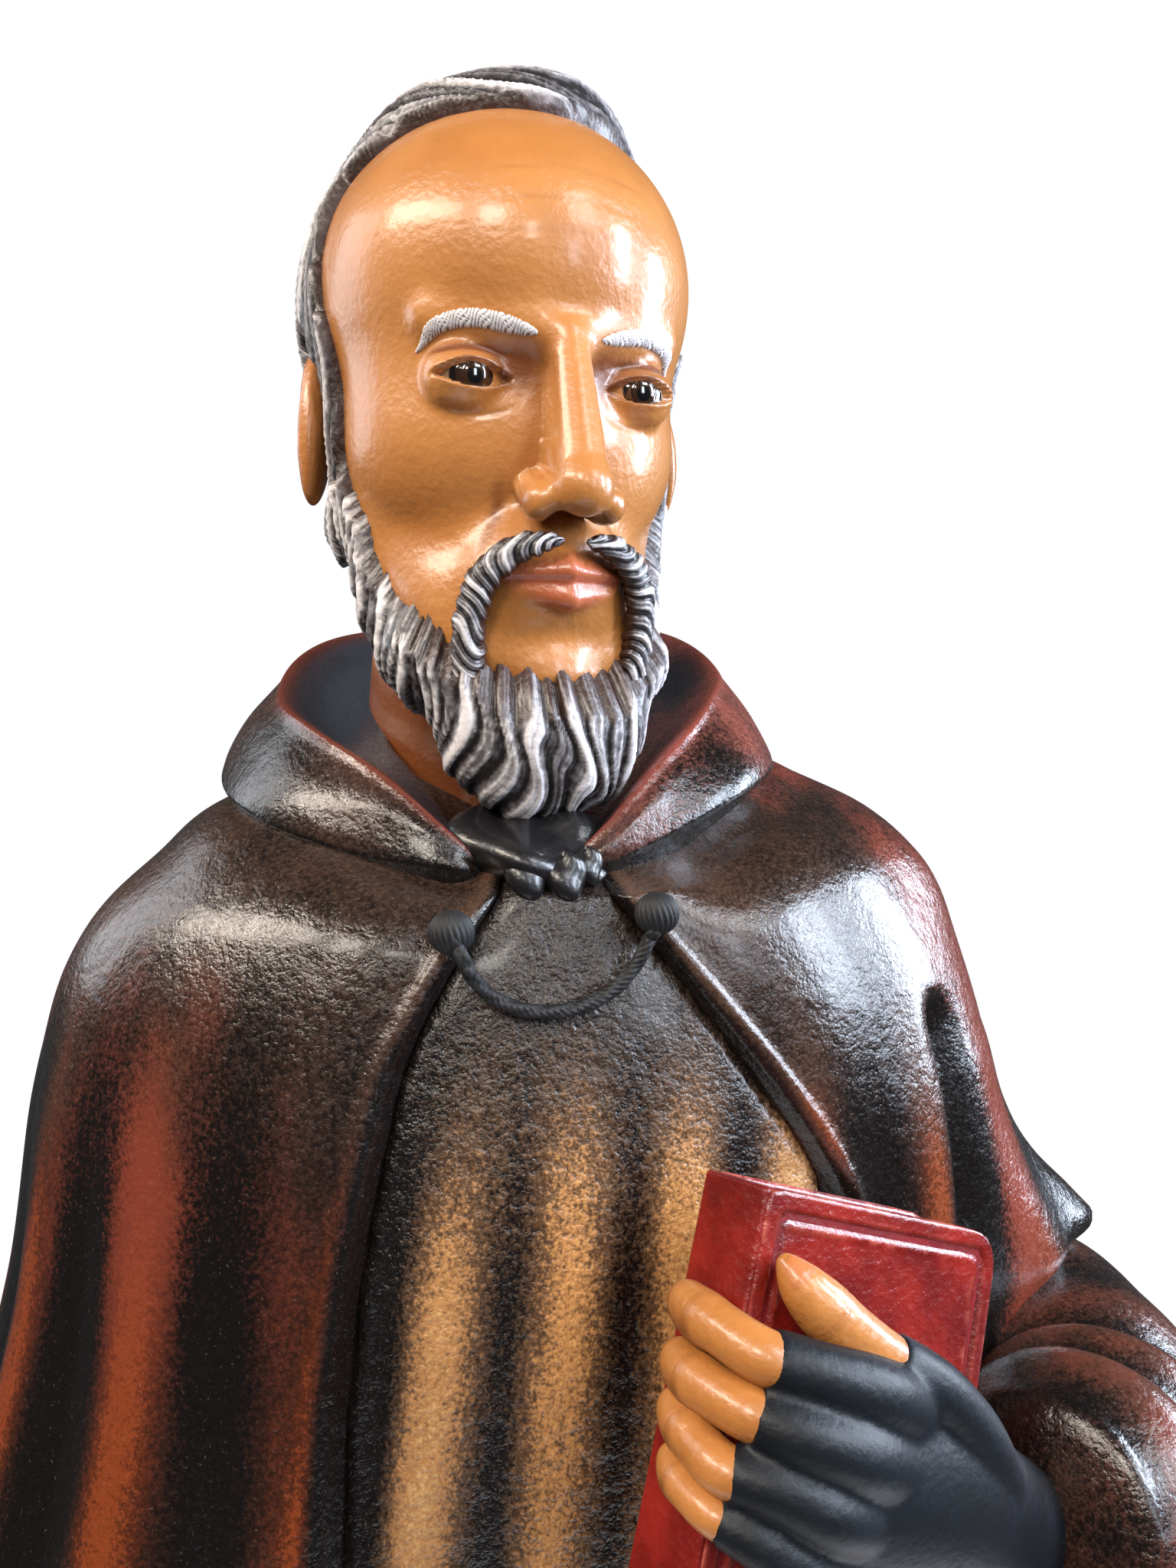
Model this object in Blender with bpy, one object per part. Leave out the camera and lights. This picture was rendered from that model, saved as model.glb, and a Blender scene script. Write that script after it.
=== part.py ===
"""Church figure of a bearded friar in painted fibreglass, on a low plinth.

The figure is one casting: head, hair, beard, habit, open cloak with its collar, the raised
left hand in a fingerless glove, the book and the sandalled feet. The plinth, the two glass
eyes, the two cord knobs and the cord between them are separate pieces.
Metres, +Z up, the figure faces -Y, origin under the middle of the plinth.
"""

import math

import bmesh
import bpy
import numpy as np
from mathutils import Matrix, Vector

# overall sizes
total_height = 1.25
base_height = 0.05
base_width = 0.45
base_depth = 0.37
base_edge = 0.008
base_corner = 0.05
fit_gap = 0.0003
figure_height = total_height - base_height - fit_gap

# head: the shape below is drawn in millimetres on a head of 230 mm, eye line at half height
head_scale = 0.00079
head_turn = math.radians(7)
head_bow = math.radians(7)
head_at = (-0.008, -0.006, 1.104)
eye_apart = 32.0
eye_deep = -69.5
eye_radius = 12.6
eye_half_width = 14.0
eye_half_height = 5.4

# cloak, cord and belt
cloak_wall = 0.009
cloak_hem = 0.29
groove_turn = 58.5
knob_radius = 0.006
knob_left = (-0.035, 0.947)
knob_right = (0.0205, 0.95)
cord_width = 0.004
cord_sag = 0.0235
belt_level = 0.69
belt_width = 0.012

# book
book_width = 0.084
book_length = 0.125
book_thick = 0.024
book_board = 0.003
book_inset = 0.003
book_corner = (0.0335, -0.1435, 0.8925)
book_turn = math.radians(19)
book_lean = math.radians(7.3)
book_roll = math.radians(20.4)

# how fine the casting is
voxel = 0.0022
figure_triangles = 7320

unit = figure_height / 1.2
lift = base_height + fit_gap


def clear():
    for thing in list(bpy.data.objects):
        bpy.data.objects.remove(thing, do_unlink=True)


def curve(x, xs, ys):
    """A smooth line through a few stations."""
    xs, ys = np.asarray(xs, float), np.asarray(ys, float)
    x = np.clip(x, xs[0], xs[-1])
    slope = np.gradient(ys, xs)
    i = np.clip(np.searchsorted(xs, x) - 1, 0, len(xs) - 2)
    wide = xs[i + 1] - xs[i]
    t = (x - xs[i]) / wide
    return (
        (2 * t**3 - 3 * t**2 + 1) * ys[i]
        + (t**3 - 2 * t**2 + t) * wide * slope[i]
        + (3 * t**2 - 2 * t**3) * ys[i + 1]
        + (t**3 - t**2) * wide * slope[i + 1]
    )


def step(x, low, high):
    t = np.clip((x - low) / (high - low), 0, 1)
    return t * t * (3 - 2 * t)


def ridges(phase, soft=0.6):
    """Broad ridges with narrow valleys, 0 to 1."""
    return (0.5 + 0.5 * np.cos(phase)) ** soft


def form(name, columns, rows, place):
    """A closed surface: a grid u (around, closed) by v (along, ends drawn to a point)."""
    bm = bmesh.new()
    bmesh.ops.create_grid(bm, x_segments=columns, y_segments=rows, size=1)
    mesh = bpy.data.meshes.new(name)
    bm.to_mesh(mesh)
    bm.free()
    flat = np.empty(len(mesh.vertices) * 3)
    mesh.vertices.foreach_get("co", flat)
    flat = flat.reshape(-1, 3)
    u, v = (flat[:, 0] + 1) / 2, (flat[:, 1] + 1) / 2
    u = np.where(u > 1 - 1e-6, 0.0, u)
    at = place(u, v)
    for end in (v < 1e-6, v > 1 - 1e-6):
        at[end] = at[end].mean(axis=0)
    mesh.vertices.foreach_set("co", at.reshape(-1))
    bm = bmesh.new()
    bm.from_mesh(mesh)
    bmesh.ops.remove_doubles(bm, verts=bm.verts, dist=1e-6)
    bmesh.ops.recalc_face_normals(bm, faces=bm.faces)
    bm.to_mesh(mesh)
    bm.free()
    thing = bpy.data.objects.new(name, mesh)
    bpy.context.scene.collection.objects.link(thing)
    return thing


def tube_place(points, radii, squash=1.0, up=(0, 0, 1), wave=(0, 0)):
    """Round section swept along a smooth line through the points, with domed ends."""
    points, radii = np.asarray(points, float), np.asarray(radii, float)
    length = np.concatenate([[0], np.cumsum(np.linalg.norm(np.diff(points, axis=0), axis=1))])
    length = length / length[-1]

    def place(u, v):
        ends = np.sqrt(np.clip(1 - (2 * np.clip(v, 0, 1) - 1) ** 8, 0, 1))
        at = np.stack([curve(v, length, points[:, i]) for i in range(3)], 1)
        ahead = np.stack([curve(np.clip(v + 0.01, 0, 1), length, points[:, i]) for i in range(3)], 1)
        behind = np.stack([curve(np.clip(v - 0.01, 0, 1), length, points[:, i]) for i in range(3)], 1)
        way = ahead - behind
        way /= np.linalg.norm(way, axis=1)[:, None]
        side = np.cross(way, np.asarray(up, float))
        side /= np.linalg.norm(side, axis=1)[:, None]
        over = np.cross(side, way)
        a = (u * 2 * np.pi)[:, None]
        r = curve(v, length, radii) + wave[1] * np.sin(v * wave[0] * 2 * np.pi + 0.8 * np.sin(a[:, 0]))
        r = (r * ends)[:, None]
        return at + r * (np.cos(a) * side + squash * np.sin(a) * over)

    return place


def tube(name, points, radii, columns=28, rows=40, squash=1.0, up=(0, 0, 1), wave=(0, 0)):
    return form(name, columns, rows, tube_place(points, radii, squash, up, wave))


def ball(name, centre, radii, columns=40, rows=30):
    def place(u, v):
        a, e = u * 2 * np.pi, (v - 0.5) * np.pi
        way = np.stack([np.cos(a) * np.cos(e), np.sin(a) * np.cos(e), np.sin(e)], 1)
        return np.asarray(centre, float) + way * np.asarray(radii, float)

    return form(name, columns, rows, place)


# the trunk, as distances from its axis at an angle from the front and a height
def habit_width(z):
    return curve(z, (0, 0.12, 0.28, 0.6, 0.83, 0.9, 0.945, 0.96, 0.975, 0.985),
                 (0.162, 0.158, 0.163, 0.164, 0.157, 0.15, 0.132, 0.12, 0.103, 0.082))


def cloak_width(z):
    return curve(z, (0.2, 0.28, 0.6, 0.83, 0.9, 0.945, 0.96, 0.975, 0.985),
                 (0.178, 0.176, 0.166, 0.157, 0.15, 0.132, 0.12, 0.103, 0.082)) + cloak_wall


def front_depth(z):
    return curve(z, (0, 0.3, 0.5, 0.7, 0.8, 0.86, 0.9, 0.93, 0.95, 0.97),
                 (0.122, 0.116, 0.108, 0.106, 0.104, 0.101, 0.096, 0.0895, 0.083, 0.075))


def back_depth(z):
    return curve(z, (0, 0.3, 0.6, 0.85, 0.93, 0.97, 0.99),
                 (0.125, 0.124, 0.105, 0.1, 0.094, 0.084, 0.072))


def oval(angle, wide, front, back):
    n = 2.15
    deep = np.where(np.cos(angle) > 0, front, back)
    return ((np.abs(np.sin(angle)) / wide) ** n + (np.abs(np.cos(angle)) / deep) ** n) ** (-1 / n)


def habit_radius(angle, z):
    deg = np.degrees(angle)
    lean = 4.5 * (0.9 - z) / 0.1
    grow = step(-z, -0.92, -0.8) * (0.0035 + 0.007 * step(-z, -0.8, -0.1))
    grow = grow * (1 - 0.55 * np.exp(-(((z - belt_level) / 0.03) ** 2)))
    bend = 5 * np.sin(2 * angle + 0.9) * step(np.abs(deg), 20, 60)
    bend = bend + 2.5 * np.sin(7 * z + 3 * angle) * step(-z, -0.7, -0.5)
    folds = ridges(np.radians((deg + 3 + np.clip(lean, -3, 6) + bend) * 360 / 18), 0.7) - 0.5
    folds = folds * (0.78 + 0.3 * np.sin(5 * angle + 6 * z))
    return oval(angle, habit_width(z), front_depth(z), back_depth(z)) + grow * folds


def raised_side(deg):
    """The side of the raised left arm, from the front to the back of the shoulder."""
    return step(deg, 60, 72) * step(-deg, -132, -100)


def cloak_radius(angle, z):
    deg = np.degrees(angle)
    grow = step(-z, -0.94, -0.77) * (0.006 + 0.007 * step(-z, -0.77, -0.3))
    grow = grow * (1 - 0.75 * step(deg, 50, 58) * step(-deg, -125, -110) * step(z, 0.8, 0.84))
    bend = 4 * np.sin(3 * angle + 2.7) + 1.6 * np.sin(9 * z + 2 * angle) * step(-z, -0.85, -0.6)
    folds = ridges(np.radians((deg + 39 + bend * step(np.abs(deg), 55, 95)) * 20)) - 0.55
    folds = folds * (0.8 + 0.35 * np.sin(3 * angle + 5 * z + 1.2))
    arm = 0.012 * np.exp(-(((deg + 78) / 26) ** 2) - ((z - 0.74) / 0.07) ** 2)
    flare = 0.006 * step(-z, -0.45, -0.3)
    lobe = curve(z, (0.72, 0.77, 0.81, 0.845, 0.875, 0.9, 0.93, 0.955, 0.97),
                 (0, 0.001, 0.003, 0.002, 0.0, 0.001, 0.001, 0.005, 0.004)) * raised_side(deg)
    point = curve(z, (0.795, 0.81, 0.82, 0.83, 0.845, 0.87, 0.9), (0, 0.016, 0.034, 0.029, 0.017, 0.006, 0))
    point = point * np.exp(-(((deg - 82) / curve(z, (0.8, 0.82, 0.85, 0.9), (15, 13, 16, 24))) ** 2))
    pleats = np.cos(np.radians((deg - 82) * 26)) * step(z, 0.8, 0.82) * step(-z, -0.87, -0.84)
    point = point * (1 + 0.1 * pleats)
    slope = curve(z, (0.78, 0.84, 0.87, 0.89, 0.93, 0.947, 0.96, 0.975),
                  (0, -0.003, -0.004, -0.004, -0.003, -0.0045, -0.008, -0.008))
    slope = slope * step(-deg, 35, 60) * step(deg, -150, -115)
    groove = -0.009 * np.exp(-(((deg - groove_turn) / 2.6) ** 2))
    groove = groove * step(-z, -0.921, -0.905) * step(z, 0.82, 0.85)
    wall = oval(angle, cloak_width(z), front_depth(z) + cloak_wall, back_depth(z) + cloak_wall)
    return wall + grow * folds + arm + flare + lobe + point + slope + groove


def cloak_edge_left(z):
    return -curve(z, (0.28, 0.6, 0.78, 0.864, 0.893, 0.913, 0.929, 0.943, 0.957, 0.97),
                  (40, 38.5, 36.7, 33.9, 31.7, 29.7, 25.8, 21.5, 16.4, 14))


def cloak_edge_right(z):
    return curve(z, (0.28, 0.6, 0.78, 0.871, 0.896, 0.921, 0.941, 0.957, 0.97),
                 (42, 42, 41, 36, 29, 20, 11.6, 3.9, 0))


def cloak_share(angle, z):
    """1 under the cloak, 0 in its opening."""
    deg = np.degrees(angle)
    soft = 0.55
    open_left = step(deg - cloak_edge_left(z), -soft, soft)
    open_right = step(cloak_edge_right(z) - deg, -soft, soft)
    return 1 - np.minimum(open_left, open_right)


def trunk_radius(angle, z):
    share = cloak_share(angle, z)
    return habit_radius(angle, z) * (1 - share) + cloak_radius(angle, z) * share


middle = np.array([0.004, 0.0])


def around(angle, radius, z):
    return np.stack([middle[0] + radius * np.sin(angle), middle[1] - radius * np.cos(angle), z], 1)


neck_line = (0.953, 0.957, 0.971, 0.985, 0.99, 0.992)


def shut(v, angle):
    """How a row of the trunk rises to the neck line and closes over its top."""
    turned = np.degrees(angle)
    stations = (0, 30, 60, 90, 135, 180)
    top = curve(np.abs(turned), stations, neck_line)
    level = 1 - (1 - np.clip(v / 0.88, 0, 1)) ** 1.35
    cap = np.clip((v - 0.88) / 0.12, 0, 1) ** 1.4
    swell = curve(np.abs(turned), stations, (0.005, 0.008, 0.014, 0.015, 0.013, 0.012))
    swell = swell * (1 - 0.5 * step(np.abs(turned), 25, 60) * step(-np.abs(turned), -150, -110))
    top = top + 0.005 * np.exp(-(((turned - 42) / 18) ** 2))
    return top, level, cap, swell * np.sin(np.pi * np.clip(cap / 0.5, 0, 1))


def trunk(cloaked):
    bottom = cloak_hem if cloaked else -0.012

    def place(u, v):
        angle = u * 2 * np.pi - np.pi
        top, level, cap, swell = shut(v, angle)
        z = bottom + (top - bottom) * level
        r = trunk_radius(angle, z) if cloaked else habit_radius(angle, z)
        return around(angle, r * (1 - cap), z + swell)

    return place


# collar: crest and outer edge around the neck
def collar_ring(deg):
    far = np.abs(deg)
    crest_r = curve(far, (0, 12, 33, 60, 90, 135, 180), (0.078, 0.077, 0.072, 0.071, 0.074, 0.081, 0.078))
    crest_z = curve(far, (0, 12, 33, 60, 90, 135, 180), (0.966, 0.972, 0.987, 1.0, 1.011, 1.034, 1.043))
    edge_r = curve(far, (0, 12, 33, 49, 90, 135, 180), (0.084, 0.084, 0.083, 0.087, 0.093, 0.101, 0.1))
    edge_z = curve(far, (0, 12, 33, 49, 90, 135, 180), (0.957, 0.96, 0.965, 0.971, 0.986, 0.999, 1.003))
    crest_z = crest_z + curve(deg, (20, 49, 75, 90, 110, 135, 170),
                              (0, 0.005, 0.009, 0.009, 0.008, 0.005, 0))
    edge_z = edge_z + curve(deg, (8, 20, 33, 49, 60, 90, 150), (0, 0.002, 0.006, 0.0095, 0.01, 0.004, 0))
    return crest_r, crest_z, edge_r, edge_z


collar_from = math.radians(-15)
collar_to = math.radians(5)


def collar_place(u, v):
    span = 2 * np.pi - (collar_to - collar_from)
    angle = collar_from - span * v
    deg = np.degrees(np.arctan2(np.sin(angle + 0.087), np.cos(angle + 0.087)))
    crest_r, crest_z, edge_r, edge_z = collar_ring(deg)
    ends = np.clip(1 - np.abs(2 * v - 1) ** 14, 0, 1) ** 0.5
    around_r = [crest_r - 0.016, crest_r - 0.009, crest_r - 0.001, crest_r + 0.004,
                (crest_r + edge_r) / 2 + 0.004, edge_r, edge_r - 0.002, crest_r - 0.004,
                crest_r - 0.016]
    around_z = [crest_z - 0.05, crest_z - 0.012, crest_z, crest_z - 0.003,
                (crest_z + edge_z) / 2 + 0.002, edge_z + 0.001, edge_z - 0.006, edge_z - 0.02,
                crest_z - 0.05]
    count = len(around_r) - 1
    t = u * count
    i = np.clip(np.floor(t).astype(int), 0, count - 1)
    f = (t - i)
    rr, zz = np.array(around_r), np.array(around_z)
    pick = np.arange(len(u))

    def through(values):
        a, b, c, d = (values[(i + k) % count, pick] for k in (-1, 0, 1, 2))
        return 0.5 * ((2 * b) + (c - a) * f + (2 * a - 5 * b + 4 * c - d) * f**2
                      + (3 * b - a - 3 * c + d) * f**3)

    r, z = through(rr), through(zz)
    mean_r, mean_z = rr[:-1].mean(axis=0), zz[:-1].mean(axis=0)
    r = mean_r + (r - mean_r) * ends
    z = mean_z + (z - mean_z) * ends
    return np.stack([-0.004 + r * np.sin(angle), 0.004 - r * np.cos(angle) * 1.0, z], 1)


# the head, in millimetres of a 230 mm head, by distances to simple shapes melted together
def melt(a, b, k):
    h = np.clip(0.5 + 0.5 * (b - a) / k, 0, 1)
    return b + (a - b) * h - k * h * (1 - h)


def egg(p, centre, radii):
    q = (p - np.asarray(centre, float)) / np.asarray(radii, float)
    k0 = np.linalg.norm(q, axis=1) + 1e-9
    k1 = np.linalg.norm(q / np.asarray(radii, float), axis=1) + 1e-9
    return k0 * (k0 - 1) / k1


def rod(p, a, b, ra, rb):
    a, b = np.asarray(a, float), np.asarray(b, float)
    t = np.clip((p - a) @ (b - a) / ((b - a) @ (b - a)), 0, 1)
    return np.linalg.norm(p - a - t[:, None] * (b - a), axis=1) - (ra + (rb - ra) * t)


def skin_distance(p):
    q = p.copy()
    q[:, 0] = np.abs(q[:, 0])
    d = egg(q, (0, 10, 36), (75, 98, 76))
    d = melt(d, egg(q, (0, -20, 45), (64, 70, 56)), 14)
    d = melt(d, egg(q, (0, -20, -18), (66, 65, 58)), 14)
    d = melt(d, egg(q, (0, -40, -74), (46, 49, 36)), 14)
    d = melt(d, rod(q, (52, -8, -50), (21, -72, -96), 14, 13), 16)
    d = melt(d, rod(q, (9, -83, 17), (44, -66, 20), 6, 5), 8)
    d = -melt(-d, egg(q, (30, -95, 2), (15, 14, 10.5)), 10)
    d = melt(d, rod(q, (0, -88, 14), (0, -108, -36), 6.5, 9.5), 7)
    d = melt(d, egg(q, (0, -110, -38), (9, 9, 8.5)), 5)
    d = melt(d, egg(q, (12, -99, -42), (7, 9, 7)), 5)
    d = -melt(-d, egg(q, (6.5, -103, -50), (4, 6, 4)), 2.5)
    lid = egg(q, (eye_apart, eye_deep, 0), (15.5, 14.3, 13.6))
    d = melt(d, lid, 3)
    d = melt(d, egg(q, (0, -74, -68), (28, 23, 25)), 10)
    d = melt(d, rod(q, (0, -98.5, -65), (20, -90, -67), 4.6, 3), 3)
    d = melt(d, rod(q, (0, -97.5, -74), (17, -89, -72), 5.2, 3), 3)
    d = -melt(-d, rod(q, (0, -104, -69.4), (24, -91, -69.6), 1.6, 1.2), 2)
    d = melt(d, egg(q, (0, -80, -103), (18, 14, 13)), 10)
    d = melt(d, rod(p, (0, 16, -70), (0, 26, -185), 44, 50), 16)
    return d


def beard_distance(p):
    q = p.copy()
    q[:, 0] = np.abs(q[:, 0])
    d = rod(q, (61, -16, -36), (46, -34, -84), 10, 16)
    d = melt(d, egg(q, (0, -50, -98), (57, 50, 33)), 10)
    d = melt(d, egg(q, (0, -73, -120), (41, 32, 40)), 8)
    return d


def tache_distance(p):
    q = p.copy()
    q[:, 0] = np.abs(q[:, 0])
    d = rod(q, (6, -100, -56), (22, -95, -59), 4.5, 7)
    d = melt(d, rod(q, (22, -95, -59), (33, -85, -74), 7, 7.5), 5)
    d = melt(d, rod(q, (33, -85, -74), (32, -84, -98), 7.5, 8), 5)
    return d


def hair_mask(p):
    """Millimetres inside the hair line, at a point of the skull."""
    x, y, z = np.abs(p[:, 0]), p[:, 1], p[:, 2]
    top = y + 52 - 48 * (x / 60) ** 2
    side = y - curve(z, (-60, -30, 0, 20, 50, 78, 110), (-30, -22, -19, -16, -8, -2, -2))
    front = np.where(z > 78, np.maximum(top, side - 6 * (z - 78) / 10), side)
    front = np.minimum(front, 60)
    under = z - curve(y, (-8, -2, 6, 22, 34, 52, 110), (-64, -20, 20, 18, -20, -72, -74))
    return np.minimum(front, under)


def locks(p):
    """Relief of the locks, -1 to 1, running down the beard and back over the skull."""
    x, y, z = p[:, 0], p[:, 1], p[:, 2]
    turn = np.degrees(np.arctan2(x, -(y - 0)))
    beard = np.cos(np.radians(turn * 17 + 38 * np.sin(z / 15 + turn / 21)))
    top = np.cos(2 * np.pi * (0.9 * hair_mask(p) + 0.22 * x) / 9)
    side = np.cos((y * 0.5 - z * 0.12 + 1.1 * np.sin(z / 20)))
    over = step(z, 62, 88)
    hair = side * (1 - over) + top * over
    low = step(-z, 45, 60)
    return hair * (1 - low) + beard * low


head_middle = np.array([0.0, -10.0, -12.0])


def head_way(u, v):
    a, e = u * 2 * np.pi, (v - 0.5) * np.pi
    return np.stack([np.sin(a) * np.cos(e), -np.cos(a) * np.cos(e), np.sin(e)], 1)


def shoot(way, distance, far=190.0):
    """How far from the middle of the head each line meets the surface, from outside in."""
    r = np.full(len(way), far)
    for _ in range(34):
        r = r - 0.9 * distance(head_middle + way * r[:, None])
    return np.clip(r, 5, far)


def to_figure(p):
    """From the head's millimetres to the figure."""
    turn = Matrix.Rotation(head_turn, 3, "Z") @ Matrix.Rotation(head_bow, 3, "X")
    return np.asarray(head_at) + head_scale * (p @ np.array(turn).T)


def head_place(u, v):
    way = head_way(u, v)

    def both(p):
        return melt(skin_distance(p), melt(beard_distance(p), tache_distance(p), 2), 1.5)

    skin = shoot(way, skin_distance)
    r = shoot(way, both)
    at = head_middle + way * skin[:, None]
    mask = hair_mask(at)
    inside = step(mask, -2, 3)
    bearded = step(r - skin, 0.5, 4)
    tuft = 8 * np.exp(-(((at[:, 1] + 30) / 30) ** 2)) * step(at[:, 2], 70, 95) * step(mask, 0, 13)
    r = r + inside * (5.2 + tuft + 1.5 * locks(at)) * (1 - bearded)
    at = head_middle + way * r[:, None]
    r = r + 1.9 * bearded * locks(at)
    return to_figure(head_middle + way * r[:, None])


def ear(side):
    def place(u, v):
        a, e = u * 2 * np.pi, (v - 0.5) * np.pi
        way = np.stack([np.cos(a) * np.cos(e), np.sin(a) * np.cos(e), np.sin(e)], 1)
        p = way * np.array([6.5, 17, 31])
        bowl = np.exp(-((p[:, 1] / 9) ** 2) - ((p[:, 2] - 3) / 15) ** 2)
        p[:, 0] -= np.where(way[:, 0] > 0, 7 * bowl, 0)
        p[:, 1] += 0.16 * p[:, 2]
        p = p * np.array([side, 1, 1])
        turn = np.array(Matrix.Rotation(side * math.radians(20), 3, "Z"))
        return to_figure(p @ turn.T + np.array([side * 73, 8, -12]))

    return form("ear", 32, 28, place)


# the book's own directions
book_n = Vector((math.sin(book_turn) * math.cos(book_lean), -math.cos(book_turn) * math.cos(book_lean),
                 math.sin(book_lean)))
flat_w = Vector((math.cos(book_turn), math.sin(book_turn), 0))
flat_h = flat_w.cross(book_n) * -1
if flat_h.z < 0:
    flat_h = flat_h * -1
book_w = (flat_w * math.cos(book_roll) - flat_h * math.sin(book_roll)).normalized()
book_h = (flat_h * math.cos(book_roll) + flat_w * math.sin(book_roll)).normalized()


def on_book(w, h, n):
    """A point w across, h up and n out from the cover's top corner at the spine, in mm."""
    at = Vector(book_corner) + book_w * (w / 1000) + book_h * (h / 1000) + book_n * (n / 1000)
    return tuple(at)


def slab(name, w0, w1, h0, h1, n0, n1, bevel=0.0, segments=2):
    bm = bmesh.new()
    bmesh.ops.create_cube(bm, size=1)
    for vert in bm.verts:
        x, y, z = vert.co
        vert.co = on_book(w0 + (x + 0.5) * (w1 - w0), h0 + (y + 0.5) * (h1 - h0), n0 + (z + 0.5) * (n1 - n0))
    if bevel:
        bmesh.ops.bevel(bm, geom=bm.edges[:], offset=bevel, segments=segments, profile=0.5,
                        affect="EDGES", material=-1)
    bmesh.ops.recalc_face_normals(bm, faces=bm.faces)
    mesh = bpy.data.meshes.new(name)
    bm.to_mesh(mesh)
    bm.free()
    thing = bpy.data.objects.new(name, mesh)
    bpy.context.scene.collection.objects.link(thing)
    return thing


def solidify(thing):
    """The modifiers' result as the object's own mesh."""
    result = bpy.data.meshes.new_from_object(thing.evaluated_get(bpy.context.evaluated_depsgraph_get()))
    thing.modifiers.clear()
    thing.data = result
    return thing


def cut(thing, tool, how="DIFFERENCE"):
    modifier = thing.modifiers.new("cut", "BOOLEAN")
    modifier.operation = how
    modifier.solver = "EXACT"
    modifier.object = tool
    solidify(thing)
    bpy.data.objects.remove(tool, do_unlink=True)
    return thing


def join(name, things):
    bm = bmesh.new()
    for thing in things:
        bm.from_mesh(thing.data)
        bpy.data.objects.remove(thing, do_unlink=True)
    mesh = bpy.data.meshes.new(name)
    bm.to_mesh(mesh)
    bm.free()
    whole = bpy.data.objects.new(name, mesh)
    bpy.context.scene.collection.objects.link(whole)
    return whole


def place_in_world(thing):
    """The figure's own frame to the object's: scaled to its height and set on the plinth."""
    thing.data.transform(Matrix.Translation((0, 0, lift)) @ Matrix.Scale(unit, 4))
    return thing


def paint(thing, name, colour, rough, metal=0.0):
    material = bpy.data.materials.new(name)
    material.use_nodes = True
    shader = material.node_tree.nodes["Principled BSDF"]
    shader.inputs["Base Color"].default_value = (*colour, 1)
    shader.inputs["Roughness"].default_value = rough
    shader.inputs["Metallic"].default_value = metal
    thing.data.materials.clear()
    thing.data.materials.append(material)


# each finger lies over the spine: its line in the book's frame, in millimetres
fingers = {
    "index": ((-4, -29, -20), (-6, -31, -12), (-6, -32.6, 0), (-2.3, -34.7, 9), (9, -36, 13.5)),
    "middle": ((-4, -41, -18), (-6, -43.5, -11), (-6, -45.2, 0), (-2.6, -46.5, 9), (6, -48, 15)),
    "ring": ((-4, -50.5, -16), (-6, -54, -9), (-6.5, -56.5, -1), (-5.8, -58.6, 7), (2.5, -59.2, 13.5)),
    "little": ((-4, -61, -13), (-6, -64.5, -7), (-6.5, -66.5, 0), (-5.4, -67.8, 6), (1, -69.8, 11.5)),
    "thumb": ((3, -14, 3.5), (9, -19.5, 6), (18, -25, 8), (35.5, -32, 10), (48, -35.5, 11.5)),
}
stubs = {
    "index": ((-2.3, -34.7, 9), (8.5, -36, 14), (25.4, -38.2, 16), (53, -45, 10), (80, -58, 1)),
    "middle": ((-2.6, -46.5, 9), (5, -48, 15.5), (18.7, -50.1, 18), (49.5, -57.3, 12), (78, -67.5, 1)),
    "ring": ((-5.8, -58.6, 7), (2.2, -59, 14), (13.2, -61.8, 17), (43, -68.5, 11), (76, -76, 0)),
    "little": ((-5.4, -67.8, 6), (0.9, -69.8, 12), (11.6, -74, 14.5), (42, -79, 8), (74, -84, -2)),
    "thumb": ((35.5, -32, 10), (49.4, -36.5, 12), (66, -45, 10), (88, -60, 3)),
}
finger_radius = {"index": 0.0058, "middle": 0.0058, "ring": 0.0053, "little": 0.0044, "thumb": 0.0062}
palm_line = ((10, -53, 3), (38, -58, 3), (64, -62, 2), (92, -69, -1), (128, -79, -5))


def hand():
    """Fingers, the glove's finger stubs over them, and the hand with its wrist."""
    out = []
    for name, size in finger_radius.items():
        bare = [on_book(*p) for p in fingers[name]]
        gloved = [on_book(*p) for p in stubs[name]]
        grow = (1.0, 1.06, 1.22, 1.45, 1.4)[:len(gloved)]
        out.append(tube("finger", bare, [size * 0.9] + [size] * 4, 20, 24, up=tuple(book_n)))
        out.append(tube("stub", gloved, [(size + 0.0009) * g for g in grow], 20, 24, up=tuple(book_n)))
    out.append(tube("palm", [on_book(*p) for p in palm_line], [0.018, 0.0225, 0.0215, 0.0175, 0.0175],
                    32, 36, squash=0.72, up=tuple(book_n)))
    return out


def arm():
    """The wide sleeve of the raised left arm, under the cloak's point at the elbow."""
    return [
        tube("sleeve", ((0.158, -0.005, 0.79), (0.178, -0.046, 0.776), (0.166, -0.088, 0.77),
                        (0.139, -0.117, 0.782), (0.117, -0.13, 0.79)),
             (0.036, 0.043, 0.042, 0.037, 0.033), 44, 60, wave=(4, 0.0016)),
        tube("bell", ((0.14, -0.03, 0.77), (0.15, -0.058, 0.742), (0.14, -0.09, 0.735),
                      (0.124, -0.112, 0.745)),
             (0.03, 0.034, 0.032, 0.024), 36, 30),
    ]


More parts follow.
